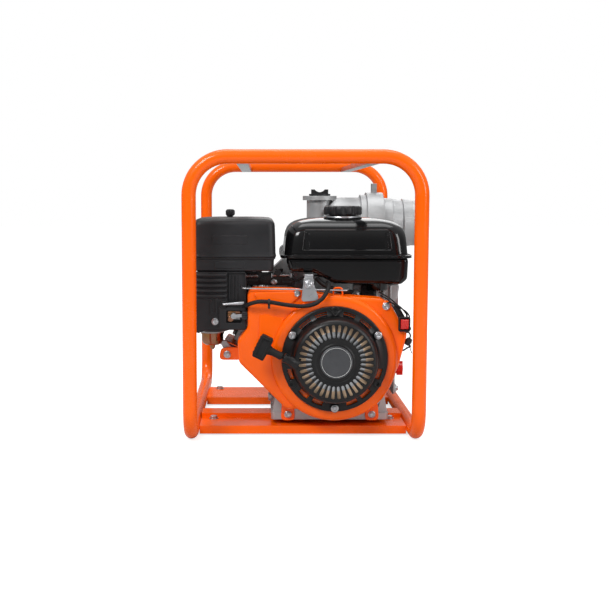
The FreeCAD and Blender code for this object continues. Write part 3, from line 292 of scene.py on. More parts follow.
class Build:
    """Collects vertices in layout millimetres and faces, then makes one mesh object."""

    def __init__(self):
        self.verts = []
        self.faces = []

    def add(self, points):
        start = len(self.verts)
        self.verts.extend(Vector(p) for p in points)
        return list(range(start, start + len(points)))

    def bridge(self, a, b, closed=True):
        n = len(a)
        for i in range(n if closed else n - 1):
            j = (i + 1) % n
            self.faces.append((a[i], a[j], b[j], b[i]))

    def loft(self, rings, cap_start=True, cap_end=True):
        made = [self.add(ring) for ring in rings]
        for a, b in zip(made, made[1:]):
            self.bridge(a, b)
        if cap_start:
            self.faces.append(tuple(reversed(made[0])))
        if cap_end:
            self.faces.append(tuple(made[-1]))
        return made

    def turned(self, profile, centre, axis, steps=64):
        """Profile is (radius, distance along axis). A closed profile makes a ring."""
        axis = Vector(axis).normalized()
        side = axis.orthogonal().normalized()
        other = axis.cross(side)
        rings = []
        for r, d in profile:
            at = Vector(centre) + axis * d
            if r < 0.001:
                rings.append(self.add([at]) * steps)
                continue
            rings.append(self.add([at + around(side, other, i / steps) * r for i in range(steps)]))
        closed = profile[0][0] > 0.001 and profile[-1][0] > 0.001
        pairs = list(zip(rings, rings[1:])) + ([(rings[-1], rings[0])] if closed else [])
        for a, b in pairs:
            for i in range(steps):
                j = (i + 1) % steps
                corner = []
                for v in (a[i], a[j], b[j], b[i]):
                    if v not in corner:
                        corner.append(v)
                if len(corner) > 2:
                    self.faces.append(tuple(corner))
        return self

    def block(self, low, high):
        x0, y0, z0 = low
        x1, y1, z1 = high
        self.loft([[(x0, y0, z), (x1, y0, z), (x1, y1, z), (x0, y1, z)] for z in (z0, z1)])

    def make(self, name):
        mesh = bpy.data.meshes.new(name)
        mesh.from_pydata([place(*v) for v in self.verts], [], self.faces)
        form = bmesh.new()
        form.from_mesh(mesh)
        bmesh.ops.remove_doubles(form, verts=form.verts, dist=0.00002)
        bmesh.ops.recalc_face_normals(form, faces=form.faces)
        form.to_mesh(mesh)
        form.free()
        return put(name, mesh)


def rounded_outline(points, radius, steps=6):
    """Polygon corners replaced by arcs, each as large as the runs beside it allow."""
    out = []
    count = len(points)
    for i in range(count):
        before, corner, after = (Vector(points[(i + k) % count]) for k in (-1, 0, 1))
        way_in = (before - corner).normalized()
        way_out = (after - corner).normalized()
        half = way_in.angle(way_out) / 2
        reach = min(radius / tan(half), 0.45 * (before - corner).length, 0.45 * (after - corner).length)
        start = corner + way_in * reach
        end = corner + way_out * reach
        for k in range(steps + 1):
            t = k / steps
            out.append(start * (1 - t) ** 2 + corner * 2 * t * (1 - t) + end * t ** 2)
    return out


def rect(x0, x1, z0, z1):
    return [(x0, z0), (x1, z0), (x1, z1), (x0, z1)]


def upright(outline, y):
    return [(p.x, y, p.y) for p in outline]


def level(outline, z):
    return [(p.x, p.y, z) for p in outline]


def inset(outline, distance):
    """Every point moved inwards along its own normal."""
    area = sum(a.x * b.y - b.x * a.y for a, b in zip(outline, outline[1:] + outline[:1]))
    sign = 1 if area > 0 else -1
    out = []
    count = len(outline)
    for i, p in enumerate(outline):
        along = (outline[(i + 1) % count] - outline[i - 1]).normalized()
        out.append(p + Vector((-along.y, along.x)) * sign * distance)
    return out


def rounded_rect(box, step, radius, run):
    """Points round a box inset by a step: the same count for every size, so that rings loft."""
    x0, x1, y0, y1 = box[0] + step, box[1] - step, box[2] + step, box[3] - step
    points = []
    corners = (((x1 - radius, y0 + radius), -90), ((x1 - radius, y1 - radius), 0),
               ((x0 + radius, y1 - radius), 90), ((x0 + radius, y0 + radius), 180))
    for i, ((cx, cy), start) in enumerate(corners):
        for k in range(ARC_STEPS + 1):
            a = radians(start + 90 * k / ARC_STEPS)
            points.append(Vector((cx + radius * cos(a), cy + radius * sin(a))))
        nx, ny = corners[(i + 1) % 4][0]
        a = radians(start + 90)
        last = points[-1]
        target = Vector((nx + radius * cos(a), ny + radius * sin(a)))
        for k in range(1, run):
            points.append(last.lerp(target, k / run))
    return points


def quarter(radius, steps=5):
    """(depth, inset) along a rounded edge, from its side to its face."""
    out = []
    for k in range(steps + 1):
        a = pi / 2 * k / steps
        out.append((radius * sin(a), radius * (1 - cos(a))))
    return out


def cut_holes(obj, cutters):
    """Takes the cutters' shapes out of the finished mesh."""
    for cutter in cutters:
        hole = obj.modifiers.new("hole", "BOOLEAN")
        hole.operation = "DIFFERENCE"
        hole.object = cutter
        hole.solver = "EXACT"
    bpy.context.view_layer.update()
    depsgraph = bpy.context.evaluated_depsgraph_get()
    cut = bpy.data.meshes.new_from_object(obj.evaluated_get(depsgraph))
    obj.modifiers.clear()
    obj.data = cut
    for cutter in cutters:
        bpy.data.objects.remove(cutter)
    for face in cut.polygons:
        face.use_smooth = True
    cut.set_sharp_from_angle(angle=CUT_ANGLE)


def slab(build, points, y_front, y_back, radius, edge):
    """A plate with rounded corners and a rounded front edge, lofted from back to front."""
    outline = rounded_outline(points, radius)
    build.loft([upright(outline, y_back)] +
               [upright(inset(outline, step), y_front + edge - depth) for depth, step in quarter(edge)])


def rim(build, outer, inner, y_front, y_back, edge=0.8):
    """A closed frame between two outlines of the same number of points."""
    rings = [upright(outer, y_back), upright(outer, y_front + edge),
             upright(inset(outer, edge), y_front), upright(inset(inner, -edge), y_front),
             upright(inner, y_front + edge), upright(inner, y_back)]
    made = build.loft(rings, cap_start=False, cap_end=False)
    build.bridge(made[-1], made[0])


def box_outline(x0, x1, z0, z1, radius):
    return rounded_outline(rect(x0, x1, z0, z1), radius)


def hex_bolt(build, seat, axis, size):
    """Flanged hexagon head with a chamfered rim and a dished top."""
    axis = Vector(axis).normalized()
    side = axis.orthogonal().normalized()
    other = axis.cross(side)
    build.turned([(0, 0), (size * 1.22, 0), (size * 1.22, size * 0.12), (size * 0.95, size * 0.28), (0, size * 0.28)],
                 seat, axis, 28)
    reach = size * 0.92
    build.loft([[Vector(seat) + axis * size * height + around(side, other, k / 6) * reach * share for k in range(6)]
                for share, height in ((1, 0.2), (1, 0.66), (0.9, 0.8), (0.62, 0.82), (0.5, 0.66))])


def tube(name, points, radius, mat="black_rubber", replaces=None, sides=8):
    """A smooth line of round section through layout points."""
    data = bpy.data.curves.new(name, "CURVE")
    data.dimensions = "3D"
    data.bevel_depth = radius / 1000
    data.bevel_resolution = sides // 2
    data.resolution_u = 8
    data.use_fill_caps = True
    line = data.splines.new("NURBS")
    line.points.add(len(points) - 1)
    for control, p in zip(line.points, points):
        control.co = (*place(*p), 1)
    line.order_u = 3
    line.use_endpoint_u = True
    obj = put(name, data)
    data.materials.append(MATS[mat])
    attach(obj, "frame")
    if replaces:
        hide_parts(replaces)


def spring(name, start, length, turns, radius, wire):
    """A coil of thin steel wire along x."""
    x, y, z = start
    steps = turns * 12
    coils = []
    for k in range(steps + 1):
        a = 2 * pi * k / 12
        coils.append((x + length * k / steps, y + radius * cos(a), z + radius * sin(a)))
    tube(name, coils, wire, "zinc_steel", sides=6)


# ---- carried-over CAD nodes

for subpart in frame["record"]["subparts"]:
    cad = frame["nodes"][subpart["node"]]
    look = subpart["material_slot"]
    if cad.material_slots:
        for cad_slot in cad.material_slots:
            cad_slot.material = MATS[look]
    else:
        cad.data.materials.append(MATS[look])


# ---- starter housing

PERIODS = 36
COLUMNS = 6
SLOT_HALF = 2.8
SLOT_FROM, SLOT_TO = 46, 71
LOUVRE_ROWS = ((84.5, 86.5), (88, 90), (91.5, 93.5))
LOUVRE_AT = (50, 73, 107, 130)
WINDOW_AT = (198, 228, 248, 292, 312, 342)
HOUSING_BOLT_R = 94
HOUSING_BOLTS_AT = (30, 150, 270)
HOUSING_PROFILE = [
    (102, 37.9), (102, 33.6), (101.2, 32), (99.5, 31.2), (97, 30.9), (94.8, 30.6), (93.5, 30.2), (91.5, 29.6),
    (90, 29.1), (88, 28.3), (86.5, 27.6), (84.5, 26.3), (83.4, 24), (82.6, 20), (81.6, 14),
    (80.6, 7), (79.8, 1.5), (78.6, -2), (76.6, -4.6), (74, -6.2), (72.4, -6.9), (71, -7.2), (70, -7.35),
    (68.5, -7.5), (65, -7.6), (60, -7.7), (55, -7.8), (50, -7.9), (48.3, -8), (47, -8), (46, -8),
    (44, -8), (41, -7.9), (39, -7.2), (37.5, -6.4), (35.5, -6.4), (34, -7.4), (31.6, -7.9),
    (20, -7.9), (10, -7.9)]


def slot_share(r):
    """How much of a slot's half width is open at a radius: its ends are round."""
    ends = min(abs(r - SLOT_FROM), abs(r - SLOT_TO))
    return sqrt(max(0.12, 1 - max(0, 1 - ends / SLOT_HALF) ** 2))


def housing_angle(column, r):
    period = 360 / PERIODS
    index, part = divmod(column, COLUMNS)
    middle = (index + 0.5) * period
    width = SLOT_HALF * slot_share(r) if SLOT_FROM <= r <= SLOT_TO else SLOT_HALF
    if r < 30:
        return middle + (part - 3) * period / COLUMNS
    edge = min(degrees(width / r), period * 0.4)
    return middle + {0: -period / 2, 1: -(period / 2 + edge) / 2, 2: -edge, 3: 0, 4: edge,
                     5: (period / 2 + edge) / 2}[part]


def housing_open(r_outer, r_inner, degrees, part):
    if r_outer <= SLOT_TO and r_inner >= SLOT_FROM and part in (2, 3):
        return True
    for high in LOUVRE_ROWS:
        if abs(r_outer - high[1]) < 0.01 and abs(r_inner - high[0]) < 0.01:
            if any(abs(degrees - at) < 7.6 for at in LOUVRE_AT):
                return True
    if 84.4 < r_inner and r_outer < 93.6:
        return any(abs(degrees - at) < 6.5 for at in WINDOW_AT)
    return False


def make_housing():
    """The starter's slotted shell, with its bolt bosses and the two ribs at its top."""
    total = PERIODS * COLUMNS
    build = Build()
    rings = [build.add([round_shaft(r, housing_angle(c, r), y) for c in range(total)]) for r, y in HOUSING_PROFILE]
    for k in range(len(rings) - 1):
        r_outer, r_inner = HOUSING_PROFILE[k][0], HOUSING_PROFILE[k + 1][0]
        for c in range(total):
            degrees = housing_angle(c, 90) + 0.8
            if housing_open(r_outer, r_inner, degrees % 360, c % COLUMNS):
                continue
            d = (c + 1) % total
            build.faces.append((rings[k][c], rings[k][d], rings[k + 1][d], rings[k + 1][c]))
    build.faces.append(tuple(rings[-1]))
    finish(build, "starter_housing_shell", "starter_plastic", replaces="recoil_housing",
           solid=2.2, bevel=0.45)
    extras = Build()
    for degrees in (*HOUSING_BOLTS_AT, 90, 210, 330):
        seat = round_shaft(HOUSING_BOLT_R, degrees, 23 if degrees in HOUSING_BOLTS_AT else 27.5)
        depth = DRUM_FRONT - seat[1]
        extras.turned([(3.1, 0.6), (3.9, 0), (7.2, 0), (8.2, 1), (8.6, depth - 0.1), (3.1, depth - 0.1)],
                      seat, ALONG_Y, 28)
    for side in (-1, 1):
        ring = []
        for t in (0, 1):
            x = CRANK[0] + side * (1.5 + t * 9.5)
            z = CRANK[1] + 84.5 + t * 11
            ring.append([(x - 1.7, 24.5 + 2 * t, z), (x + 1.7, 24.5 + 2 * t, z), (x + 1.7, 31, z), (x - 1.7, 31, z)])
        extras.loft(ring)
    finish(extras, "starter_housing_bosses", "starter_plastic", bevel=0.5)


GRIP = Vector((-79, 4, 184.5))
GRIP_OUT = Vector((-0.895, 0, 0.446))
GRIP_ACROSS = Vector((0.446, 0, 0.895))


def make_pull():
    guide = Build()
    guide.turned([(4, -75), (13.5, -75), (12.5, -70), (11, -65), (9.4, -60), (8.6, -54), (8.4, -49), (9.4, -48),
                  (9.6, -45), (8.4, -43.6), (4, -43.6)], GRIP, GRIP_OUT, 36)
    finish(guide, "starter_rope_guide", "starter_plastic", bevel=0.4)
    handle = Build()
    rings = []
    for along, half, thick in ((-23, 9.5, 8.5), (-22, 11.2, 10.6), (-18, 11.8, 11.2), (-9, 12.2, 11.6), (0, 12.4, 12),
                               (9, 12.2, 11.6), (18, 11.8, 11.2), (22, 11.2, 10.6), (23, 9.5, 8.5)):
        ring = []
        for k in range(28):
            a = 2 * pi * k / 28
            c, s = cos(a), sin(a)
            x = copysign(abs(c) ** 0.11, c) * half
            y = copysign(abs(s) ** 0.11, s) * thick
            ring.append(GRIP + GRIP_ACROSS * along + GRIP_OUT * x + ALONG_Y * y)
        rings.append(ring)
    handle.loft(rings)
    for k in range(5):
        at = -16 + 8 * k
        centre = GRIP + GRIP_ACROSS * (at - 1.2) + GRIP_OUT * 11.6
        ring = []
        for step in (0, 2.4):
            c = centre + GRIP_ACROSS * step
            ring.append([c - ALONG_Y * 8, c + GRIP_OUT * 1.4 - ALONG_Y * 7.4, c + GRIP_OUT * 1.4 + ALONG_Y * 7.4,
                         c + ALONG_Y * 8])
        handle.loft(ring)
    handle.turned([(0, -9), (10.5, -10), (9.6, -13), (8, -17), (7.2, -23), (7, -34), (7.6, -35), (7.6, -39),
                   (6.6, -40.6),
                   (3.4, -41), (0, -41)], GRIP, GRIP_OUT, 32)
    for low, high, near, far in ((-19, -16.4, -8.4, 8.4), (16.4, 19, -8.4, 8.4), (-16.4, 16.4, -8.4, -6),
                                 (-16.4, 16.4, 6, 8.4)):
        corners = ((low, near), (high, near), (high, far), (low, far))
        handle.loft([[GRIP + GRIP_ACROSS * u + GRIP_OUT * v + ALONG_Y * y for u, v in corners]
                     for y in (-13.2, -10.5)])
    finish(handle, "pull_grip", "black_rubber", "pull_handle", replaces="recoil_handle", bevel=0.7)
    exit_at = GRIP - GRIP_OUT * 62
    held_at = GRIP - GRIP_OUT * 36
    count = 40
    rope = Build()
    rings = []
    for k in range(count + 1):
        at = exit_at.lerp(held_at, k / count)
        ring = []
        for j in range(12):
            a = 2 * pi * j / 12
            swell = 2.9 + 0.22 * sin(3 * a + k * 1.6)
            ring.append(at + ALONG_Y * cos(a) * swell + GRIP_ACROSS * sin(a) * swell)
        rings.append(ring)
    rope.loft(rings)
    piece = finish(rope, "pull_rope", "rope", None, replaces="starter_rope")
    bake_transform(piece)


def make_reel():
    reel = Build()
    reel.turned([(8.1, 2), (50, 2), (52, 0.6), (71, 0.6), (72, 1.6), (72, 4), (60, 5.5), (48, 7), (48, 17), (60, 18.5),
                 (72, 20.5), (72, 22), (8.1, 22)], SHAFT, ALONG_Y, 96)
    for k in range(18):
        a = radians(20 * k)
        out = Vector((cos(a), 0, sin(a)))
        side = Vector((-sin(a), 0, cos(a)))
        base = Vector(SHAFT)
        ring = []
        for r in (53, 70):
            at = base + out * r
            ring.append([at - side * 1.1 - ALONG_Y * 0.5, at + side * 1.1 - ALONG_Y * 0.5,
                         at + side * 1.3 + ALONG_Y * 1, at - side * 1.3 + ALONG_Y * 1])
        reel.loft(ring)
    hub = Build().turned([(40, 0.1), (56, 0.1), (56.6, 0.5), (56.6, 0.9), (40, 0.9)], SHAFT, ALONG_Y, 72)
    finish(hub, "starter_reel_hub", "zinc_steel", "starter_reel")
    finish(reel, "starter_reel_disc", "nylon", "starter_reel", replaces="recoil_reel", bevel=0.4)


def make_badge():
    disc = Build().turned([(0, -8.2), (31, -8.2), (31, -9.7), (30.2, -10.6), (29.2, -11), (28.4, -11), (27.9, -10.5),
                           (27.2, -10.5), (26.6, -10.95), (0, -10.95)], SHAFT, ALONG_Y, 96)
    finish(disc, "starter_badge_disc", "badge_metal", replaces="recoil_badge")
    ring = Build().turned(rect(27.2, 27.9, -10.3, -11), SHAFT, ALONG_Y, 96)
    finish(ring, "starter_badge_ring", "pale_ring")


# ---- fan cover

SHROUD = [(-108, 292), (-22, 290), (40, 280), (150, 272), (168, 260), (200, 203), (184, 140), (150, 70), (-30, 55),
          (-38, 61), (-125, 148), (-128, 190), (-108, 215)]
SHROUD_FRONT, SHROUD_BACK = 48, 91.9
DRUM_R, DRUM_FRONT = 122, 38
DRUM_WALL = 3
SHROUD_EDGE, DRUM_EDGE = 7, 9
EARS = [(-29, 38), (137, 38), (-148.6, 158)]
COVER_BOLTS = ((-13.4, 281), (158, 257.5))


def make_fan_cover():
    """The pressed cover: shroud, drum round the fan, ears, panels and cable loop."""
    cover = Build()
    outline = rounded_outline(SHROUD, 16, 7)
    cover.loft([upright(outline, SHROUD_BACK)] +
               [upright(inset(outline, step), SHROUD_FRONT + SHROUD_EDGE - depth)
                for depth, step in quarter(SHROUD_EDGE, 6)], cap_start=False)
    shell = finish(cover, "fan_cover_shroud", "frame_paint", replaces="fan_cover", solid=2.6)
    cutter = Build().turned(rect(0, DRUM_R - DRUM_WALL, 20, 130), SHAFT, ALONG_Y, 96).make("drum_cutter")
    cut_holes(shell, [cutter])
    drum = Build()
    profile = [(DRUM_R, SHROUD_BACK), (DRUM_R, DRUM_FRONT + DRUM_EDGE)]
    profile += [(DRUM_R - step, DRUM_FRONT + DRUM_EDGE - depth) for depth, step in quarter(DRUM_EDGE, 8)[1:]]
    profile += [(104.5, DRUM_FRONT), (103.4, DRUM_FRONT + 0.5), (86, DRUM_FRONT + 0.5), (86, DRUM_FRONT + 3),
                (110, DRUM_FRONT + 3),
                (DRUM_R - DRUM_WALL, DRUM_FRONT + 11), (DRUM_R - DRUM_WALL, SHROUD_BACK)]
    drum.turned(profile, SHAFT, ALONG_Y, 144)
    for x, z in EARS[:2]:
        slab(drum, [(x - 14, z - 12), (x + 14, z - 12), (x + 12, z + 24), (x - 12, z + 24)], 87.9, 91.8, 9, 1.2)
    x, z = EARS[2]
    slab(drum, [(x - 17, z - 11), (x + 30, z - 11), (x + 30, z + 13), (x - 12, z + 13)], 87.9, 91.8, 9, 1.2)
    for x, z in COVER_BOLTS:
        drum.turned([(3.4, 0), (7.8, 0), (8.8, 1), (11, 3.4), (11, 6), (3.4, 6)], (x, SHROUD_FRONT - 0.2, z), ALONG_Y,
                    32)
    finish(drum, "fan_cover_drum", "frame_paint")
    panel = Build()
    slab(panel, [(-86, 190), (-50, 190), (-36, 235), (-86, 245)], SHROUD_FRONT - 2.6, SHROUD_FRONT + 2, 9, 2.5)
    for corner in panel.verts:
        corner.y += (corner.z - 222) * 0.055
    finish(panel, "fan_cover_panel", "frame_paint")
    ridge = Build()
    slab(ridge, [(-100, 284), (-84, 262), (-24, 262), (-2, 278), (-22, 286)], SHROUD_FRONT - 3, SHROUD_FRONT + 2, 8,
         2.9)
    finish(ridge, "fan_cover_ridge", "frame_paint")
    tube("fan_cover_loop", [(57, 60, 272), (57, 60, 288), (60, 60, 292), (72, 60, 292), (75, 60, 288), (75, 60, 272)],
         1.6,
         "frame_paint")


CYLINDER_Y = 180
CYLINDER_TILT = Matrix.Rotation(radians(-65), 3, "Y")


def on_cylinder(x, y, z):
    """From the leaning cylinder's own axes, with z along the bore, to the layout."""
    return Vector((CRANK[0], CYLINDER_Y, CRANK[1])) + CYLINDER_TILT @ Vector((x, y, z))


def make_lower_shroud():
    plate = Build()
    outline = rounded_outline([(-86, 106), (38, 106), (40, 200), (-60, 205), (-86, 196)], 10)
    plate.loft([[on_cylinder(x, p.x, p.y) for p in inset(outline, step)]
                for x, step in ((-66, 0.8), (-65.7, 0), (-64.3, 0), (-64, 0.8))])
    for y in (-60, -20, 18):
        rib = rounded_outline(rect(y - 5, y + 5, 118, 190), 4)
        plate.loft([[on_cylinder(-66, p.x, p.y) for p in rib],
                    [on_cylinder(-67.6, p.x, p.y) for p in inset(rib, 1.8)]])
    slab(plate, [(-160, 148), (-118, 148), (-108, 172), (-150, 172), (-160, 166)], 92.1, 94, 6, 0.8)
    finish(plate, "lower_shroud_plate", "frame_paint", replaces="cylinder_lower_shroud")


# ---- fuel tank

LIP = (-44, 214, 78, 300)
TANK_SIDES = [(353, 8, 26), (354.4, 7.6, 26), (358, 8, 26), (364, 8.5, 27), (371, 9.1, 27), (378, 9.8, 28),
              (385, 10.6, 28),
              (391, 11.6, 29), (396, 12.8, 29), (401, 14.6, 30), (405.5, 17, 30), (409.5, 20.2, 30),
              (413, 24.4, 30), (416.2, 29.6, 29), (418.8, 36, 28), (421, 44, 26), (422.8, 53, 23), (424.4, 64, 18),
              (425.6, 78, 12),
              (426.2, 92, 6)]
BELLY = [(-36, 349.9), (-27, 323), (-20, 320), (18, 320), (62, 297), (192, 296), (204, 306), (206, 349.9)]

FILLER = (84, 185)
CAP_SCALLOPS = 12
BELLY_MARGIN = 8
BELLY_EDGE = 9


def tank_front(z):
    """How far back the tank's leaning front face is at a height."""
    for (low, near, _), (high, far, _) in zip(TANK_SIDES, TANK_SIDES[1:]):
        if low <= z <= high:
            return LIP[2] + near + (far - near) * (z - low) / (high - low)
    return LIP[2] + TANK_SIDES[-1][1]


def lip_flange(build, rows):
    build.loft([level(rounded_rect(LIP, step, 30, 26), z) for z, step in rows], cap_start=False, cap_end=False)


def make_tank():
    front, back = LIP[2:]
    upper = Build()
    upper.loft([level(rounded_rect(LIP, step, radius, 26), z) for z, step, radius in TANK_SIDES], cap_start=False)
    lip_flange(upper, ((350.05, 0.6), (350.5, 0), (352.3, 0), (353, 0.7), (353.4, 7.8)))
    finish(upper, "tank_upper_shell", "black_paint", replaces="fuel_tank_upper")
    lip = Build()
    outline = rounded_outline([(-4, 361), (174, 361), (168, 403), (2, 403)], 6)
    lip.loft([[(q.x, tank_front(q.y) - out_by, q.y) for q in inset(outline, step)]
              for step, out_by in ((0, -1), (0, 0.6), (0.8, 1.3), (1.8, 1.3), (2.6, 0.6),
                                   (3.2, -0.3))], cap_start=False)
    for left, right in ((4, 12), (158, 166)):
        corners = [(left, 366), (right, 366), (right - 1, 398), (left + 1, 398)]
        lip.loft([[(q.x, tank_front(q.y) + 0.2 - out_by, q.y) for q in inset(rounded_outline(corners, 2.5), step)]
                  for step, out_by in ((0, -0.8), (0, 0.5), (0.7, 0.9))])
    finish(lip, "tank_front_panel", "black_paint")
    collar = Build().turned([(23.2, 0), (23.2, 15), (27, 15), (27, 5), (33, 4.4), (35.5, 3.4), (36.5, 1.2), (36.5, 0)],
                            (*FILLER, 424.2), ALONG_Z, 72)
    finish(collar, "tank_filler_collar", "zinc_steel", bevel=0.4)
    lower = Build()
    outline = rounded_outline(BELLY, 11, 6)
    ends = quarter(BELLY_EDGE)
    rings = [upright(inset(outline, step), back - BELLY_MARGIN - BELLY_EDGE + depth) for depth, step in reversed(ends)]
    rings += [upright(inset(outline, step), front + BELLY_MARGIN + BELLY_EDGE - depth) for depth, step in ends]
    lower.loft(rings)
    lip_flange(lower, ((349.95, 0.6), (349.5, 0), (347.6, 0), (347, 0.7), (346.8, 10)))
    slab(lower, [(-16, 342), (-12, 327), (20, 327), (66, 304), (186, 303), (192, 342)], front + 6.6, front + 12, 9,
         1.2)
    lower.turned([(0, 0), (19, 0), (21, 2), (21, 17), (0, 17)], (150, 140, 281), ALONG_Z, 40)
    finish(lower, "tank_lower_shell", "black_paint", replaces="fuel_tank_lower")


def make_cap():
    cap = Build()
    rings = []
    for z, r, cut in ((430, 36.6, 0.4), (430.6, 37.8, 1), (432, 38.6, 2), (436, 39, 3.2), (442, 38.8, 3.2),
                      (445, 38, 2.8),
                      (446.8, 36.6, 1.8), (447.8, 34.4, 0.8), (448, 31.5, 0), (447.4, 29.8, 0), (446.8, 28, 0),
                      (446.8, 10, 0)):
        rings.append(lobed(FILLER, z, 192, lambda a: r - cut * (max(0, cos(CAP_SCALLOPS * a) - 0.1) / 0.9)))
    cap.loft(rings)
    finish(cap, "fuel_cap_scalloped", "black_plastic", "fuel_cap", replaces="fuel_cap")


# ---- air cleaner

LID = (-216, -53, 60, 232)
STUD = (-144, 140)
KNOB_LOBES = 5


def make_air_cleaner():
    front = LID[2]
    lid = Build()
    rings = []
    rows = [(349.6, 1.8), (350.4, 0.6), (351.6, 0), (354.5, 0), (355.6, 1), (362, 1.1), (378, 1.4), (394, 1.8),
            (406, 2.3)]
    rows += [(411.5 + depth * 13.5 / 14, 2.6 + step) for depth, step in quarter(14, 8)]
    rows += [(425.9, 26), (426.6, 44), (426.9, 62)]
    for z, step in rows:
        radius = max(4, 15 - max(0, step - 14) * 0.25)
        rings.append(level(rounded_rect(LID, step, radius, 12), z))
    lid.loft(rings, cap_start=False)
    slab(lid, rect(-176, -108, 376, 392), front + 0.6, front + 4, 2.5, 0.5)
    finish(lid, "air_cleaner_hood", "black_plastic", replaces="air_cleaner_lid", solid=2.4)
    tray = Build()
    rows = ((323.2, 9), (323.6, 6.5), (325.5, 5), (332, 4.4), (344, 4), (346.6, 3.4), (347.4, 1.2), (349.3, 1.2))
    tray.loft([level(rounded_rect(LID, step, 13, 12), z) for z, step in rows], cap_end=False)
    tray.turned(rect(16, 19, 0, 71), (-172, 106, 252), ALONG_Z, 48)
    tray.turned(rect(0, 3, 0, 110), (*STUD, 326), ALONG_Z, 16)
    slab(tray, rect(-172, -114, 329, 342), front + 3.4, front + 8, 3, 0.7)
    finish(tray, "air_cleaner_base", "black_plastic", replaces="air_cleaner_tray", bevel=0.4)
    knob = Build()
    rings = []
    for z, r, lobe in ((427.3, 6, 0), (429, 6.4, 0), (430.2, 7.6, 0.9), (432, 8.2, 1.6), (438.5, 8.2, 1.6),
                       (440.4, 7.4, 1.3),
                       (441.8, 5.6, 0.4), (442, 3.2, 0)):
        rings.append(lobed(STUD, z, 60, lambda a: r + lobe * cos(KNOB_LOBES * a)))
    knob.loft(rings)
    finish(knob, "air_cleaner_wing_knob", "black_plastic", "air_cleaner_knob", replaces="air_cleaner_knob")


# ---- hoses, wires and linkage

HOSE_ROUTE = [(-112.8, 61.5, 256), (-112.6, 45, 257.5), (-104, 34, 263.5), (-88, 30.5, 268.5), (-67, 30, 268),
              (-36, 29.5, 262), (-3, 29, 258.5), (20, 27, 263), (35, 26.5, 274), (44, 31, 288), (48, 44, 297.5),
              (48, 60, 300), (47, 78, 300)]


def make_lines():
    tube("fuel_hose_line", HOSE_ROUTE, 4, replaces="fuel_hose", sides=12)
    clip = Build().turned([(4.2, 0), (5.6, 0), (6.2, 0.8), (6.2, 4.4), (5.6, 5.2), (4.2, 5.2)], (-69.6, 30, 267.2),
                          ALONG_X, 28)
    clip.block((-69.2, 28.4, 254.5), (-64.9, 31.4, 262.4))
    finish(clip, "fuel_hose_clip", "black_plastic", bevel=0.4)
    tube("governor_rod", [(-121, 60, 296), (-119, 46, 293.2), (-114, 43, 292), (0, 43, 290), (78, 43, 288.2),
                          (84, 45, 288.4),
                          (87, 60, 294)], 1.4, "zinc_steel", replaces="governor_linkage")
    spring("governor_spring", (-116, 102, 312), 28, 9, 3.4, 0.7)


# ---- intake cover and controls

INTAKE_EDGE = [(-209, 322.5), (-112, 322.5), (-110.5, 300), (-110.5, 234), (-125, 215), (-150, 207.5),
               (-192, 207.5), (-204, 203), (-209, 206)]


def make_intake_cover():
    cover = Build()
    edge = rounded_outline(INTAKE_EDGE, 4)
    rim(cover, edge, inset(edge, 2.4), 64, 84)
    slab(cover, [(-209, 322.5), (-147, 322.5), (-147, 254), (-163, 254), (-163, 208), (-192, 208), (-204, 203),
                 (-209, 206)],
         61.5, 66, 3.5, 1.4)
    slab(cover, rect(-149, -112, 322, 252), 68.5, 71, 3, 1)
    slab(cover, [(-164, 254), (-111, 254), (-111, 234), (-125, 215), (-150, 208), (-164, 208)], 70, 72.5, 3, 1)
    rim(cover, box_outline(-164, -110.5, 210, 255, 4), box_outline(-149, -119, 224, 247, 2.5), 58.5, 71, 1.2)
    rim(cover, box_outline(-181, -167, 239, 276, 4), box_outline(-177.5, -170.5, 243, 272, 3), 59.6, 62.5, 0.6)
    for k in range(5):
        rings = []
        for x, share in ((-207.5, 0.55), (-206, 0.86), (-203.5, 1), (-152, 1), (-149.5, 0.86), (-148, 0.55)):
            rings.append([(x, 61.8 - 4.8 * share * cos(radians(a)), 316.5 - 10.2 * k + 4.1 * share *
                           sin(radians(a))) for a in range(0, 360, 18)])
        cover.loft(rings)
    for x in (-143, -136, -129):
        slab(cover, rect(x - 1.6, x + 1.6, 316, 268), 65.5, 69, 1.2, 0.8)
    cover.turned([(4.2, -1.6), (7.4, -1.6), (8.2, -0.8), (8.2, 2), (4.2, 2)], (-171.4, 62, 226.3), ALONG_Y, 32)
    finish(cover, "intake_cover_ribbed", "black_plastic", replaces="intake_cover", bevel=0.3)
    cap = Build()
    slab(cap, rect(-119.5, -108, 230, 247), 50.5, 60.5, 4, 2)
    for k in range(4):
        slab(cap, rect(-118, -109.5, 232.5 + 3.6 * k, 234 + 3.6 * k), 49.8, 52, 0.6, 0.4)
    finish(cap, "fuel_cock_grip", "black_plastic", "fuel_cock_lever")
    works = Build()
    works.turned([(0, 0), (5, 0), (5.6, 0.6), (5.6, 5), (0, 5)], (-141, 62, 231), ALONG_Y, 28)
    slab(works, [(-147, 226), (-138, 226), (-121, 243), (-124, 246), (-147, 246)], 66.5, 69.8, 2, 0.6)
    works.block((-146, 64, 238.5), (-124, 66.5, 241.5))
    finish(works, "fuel_cock_works", "yellow_zinc", bevel=0.3)


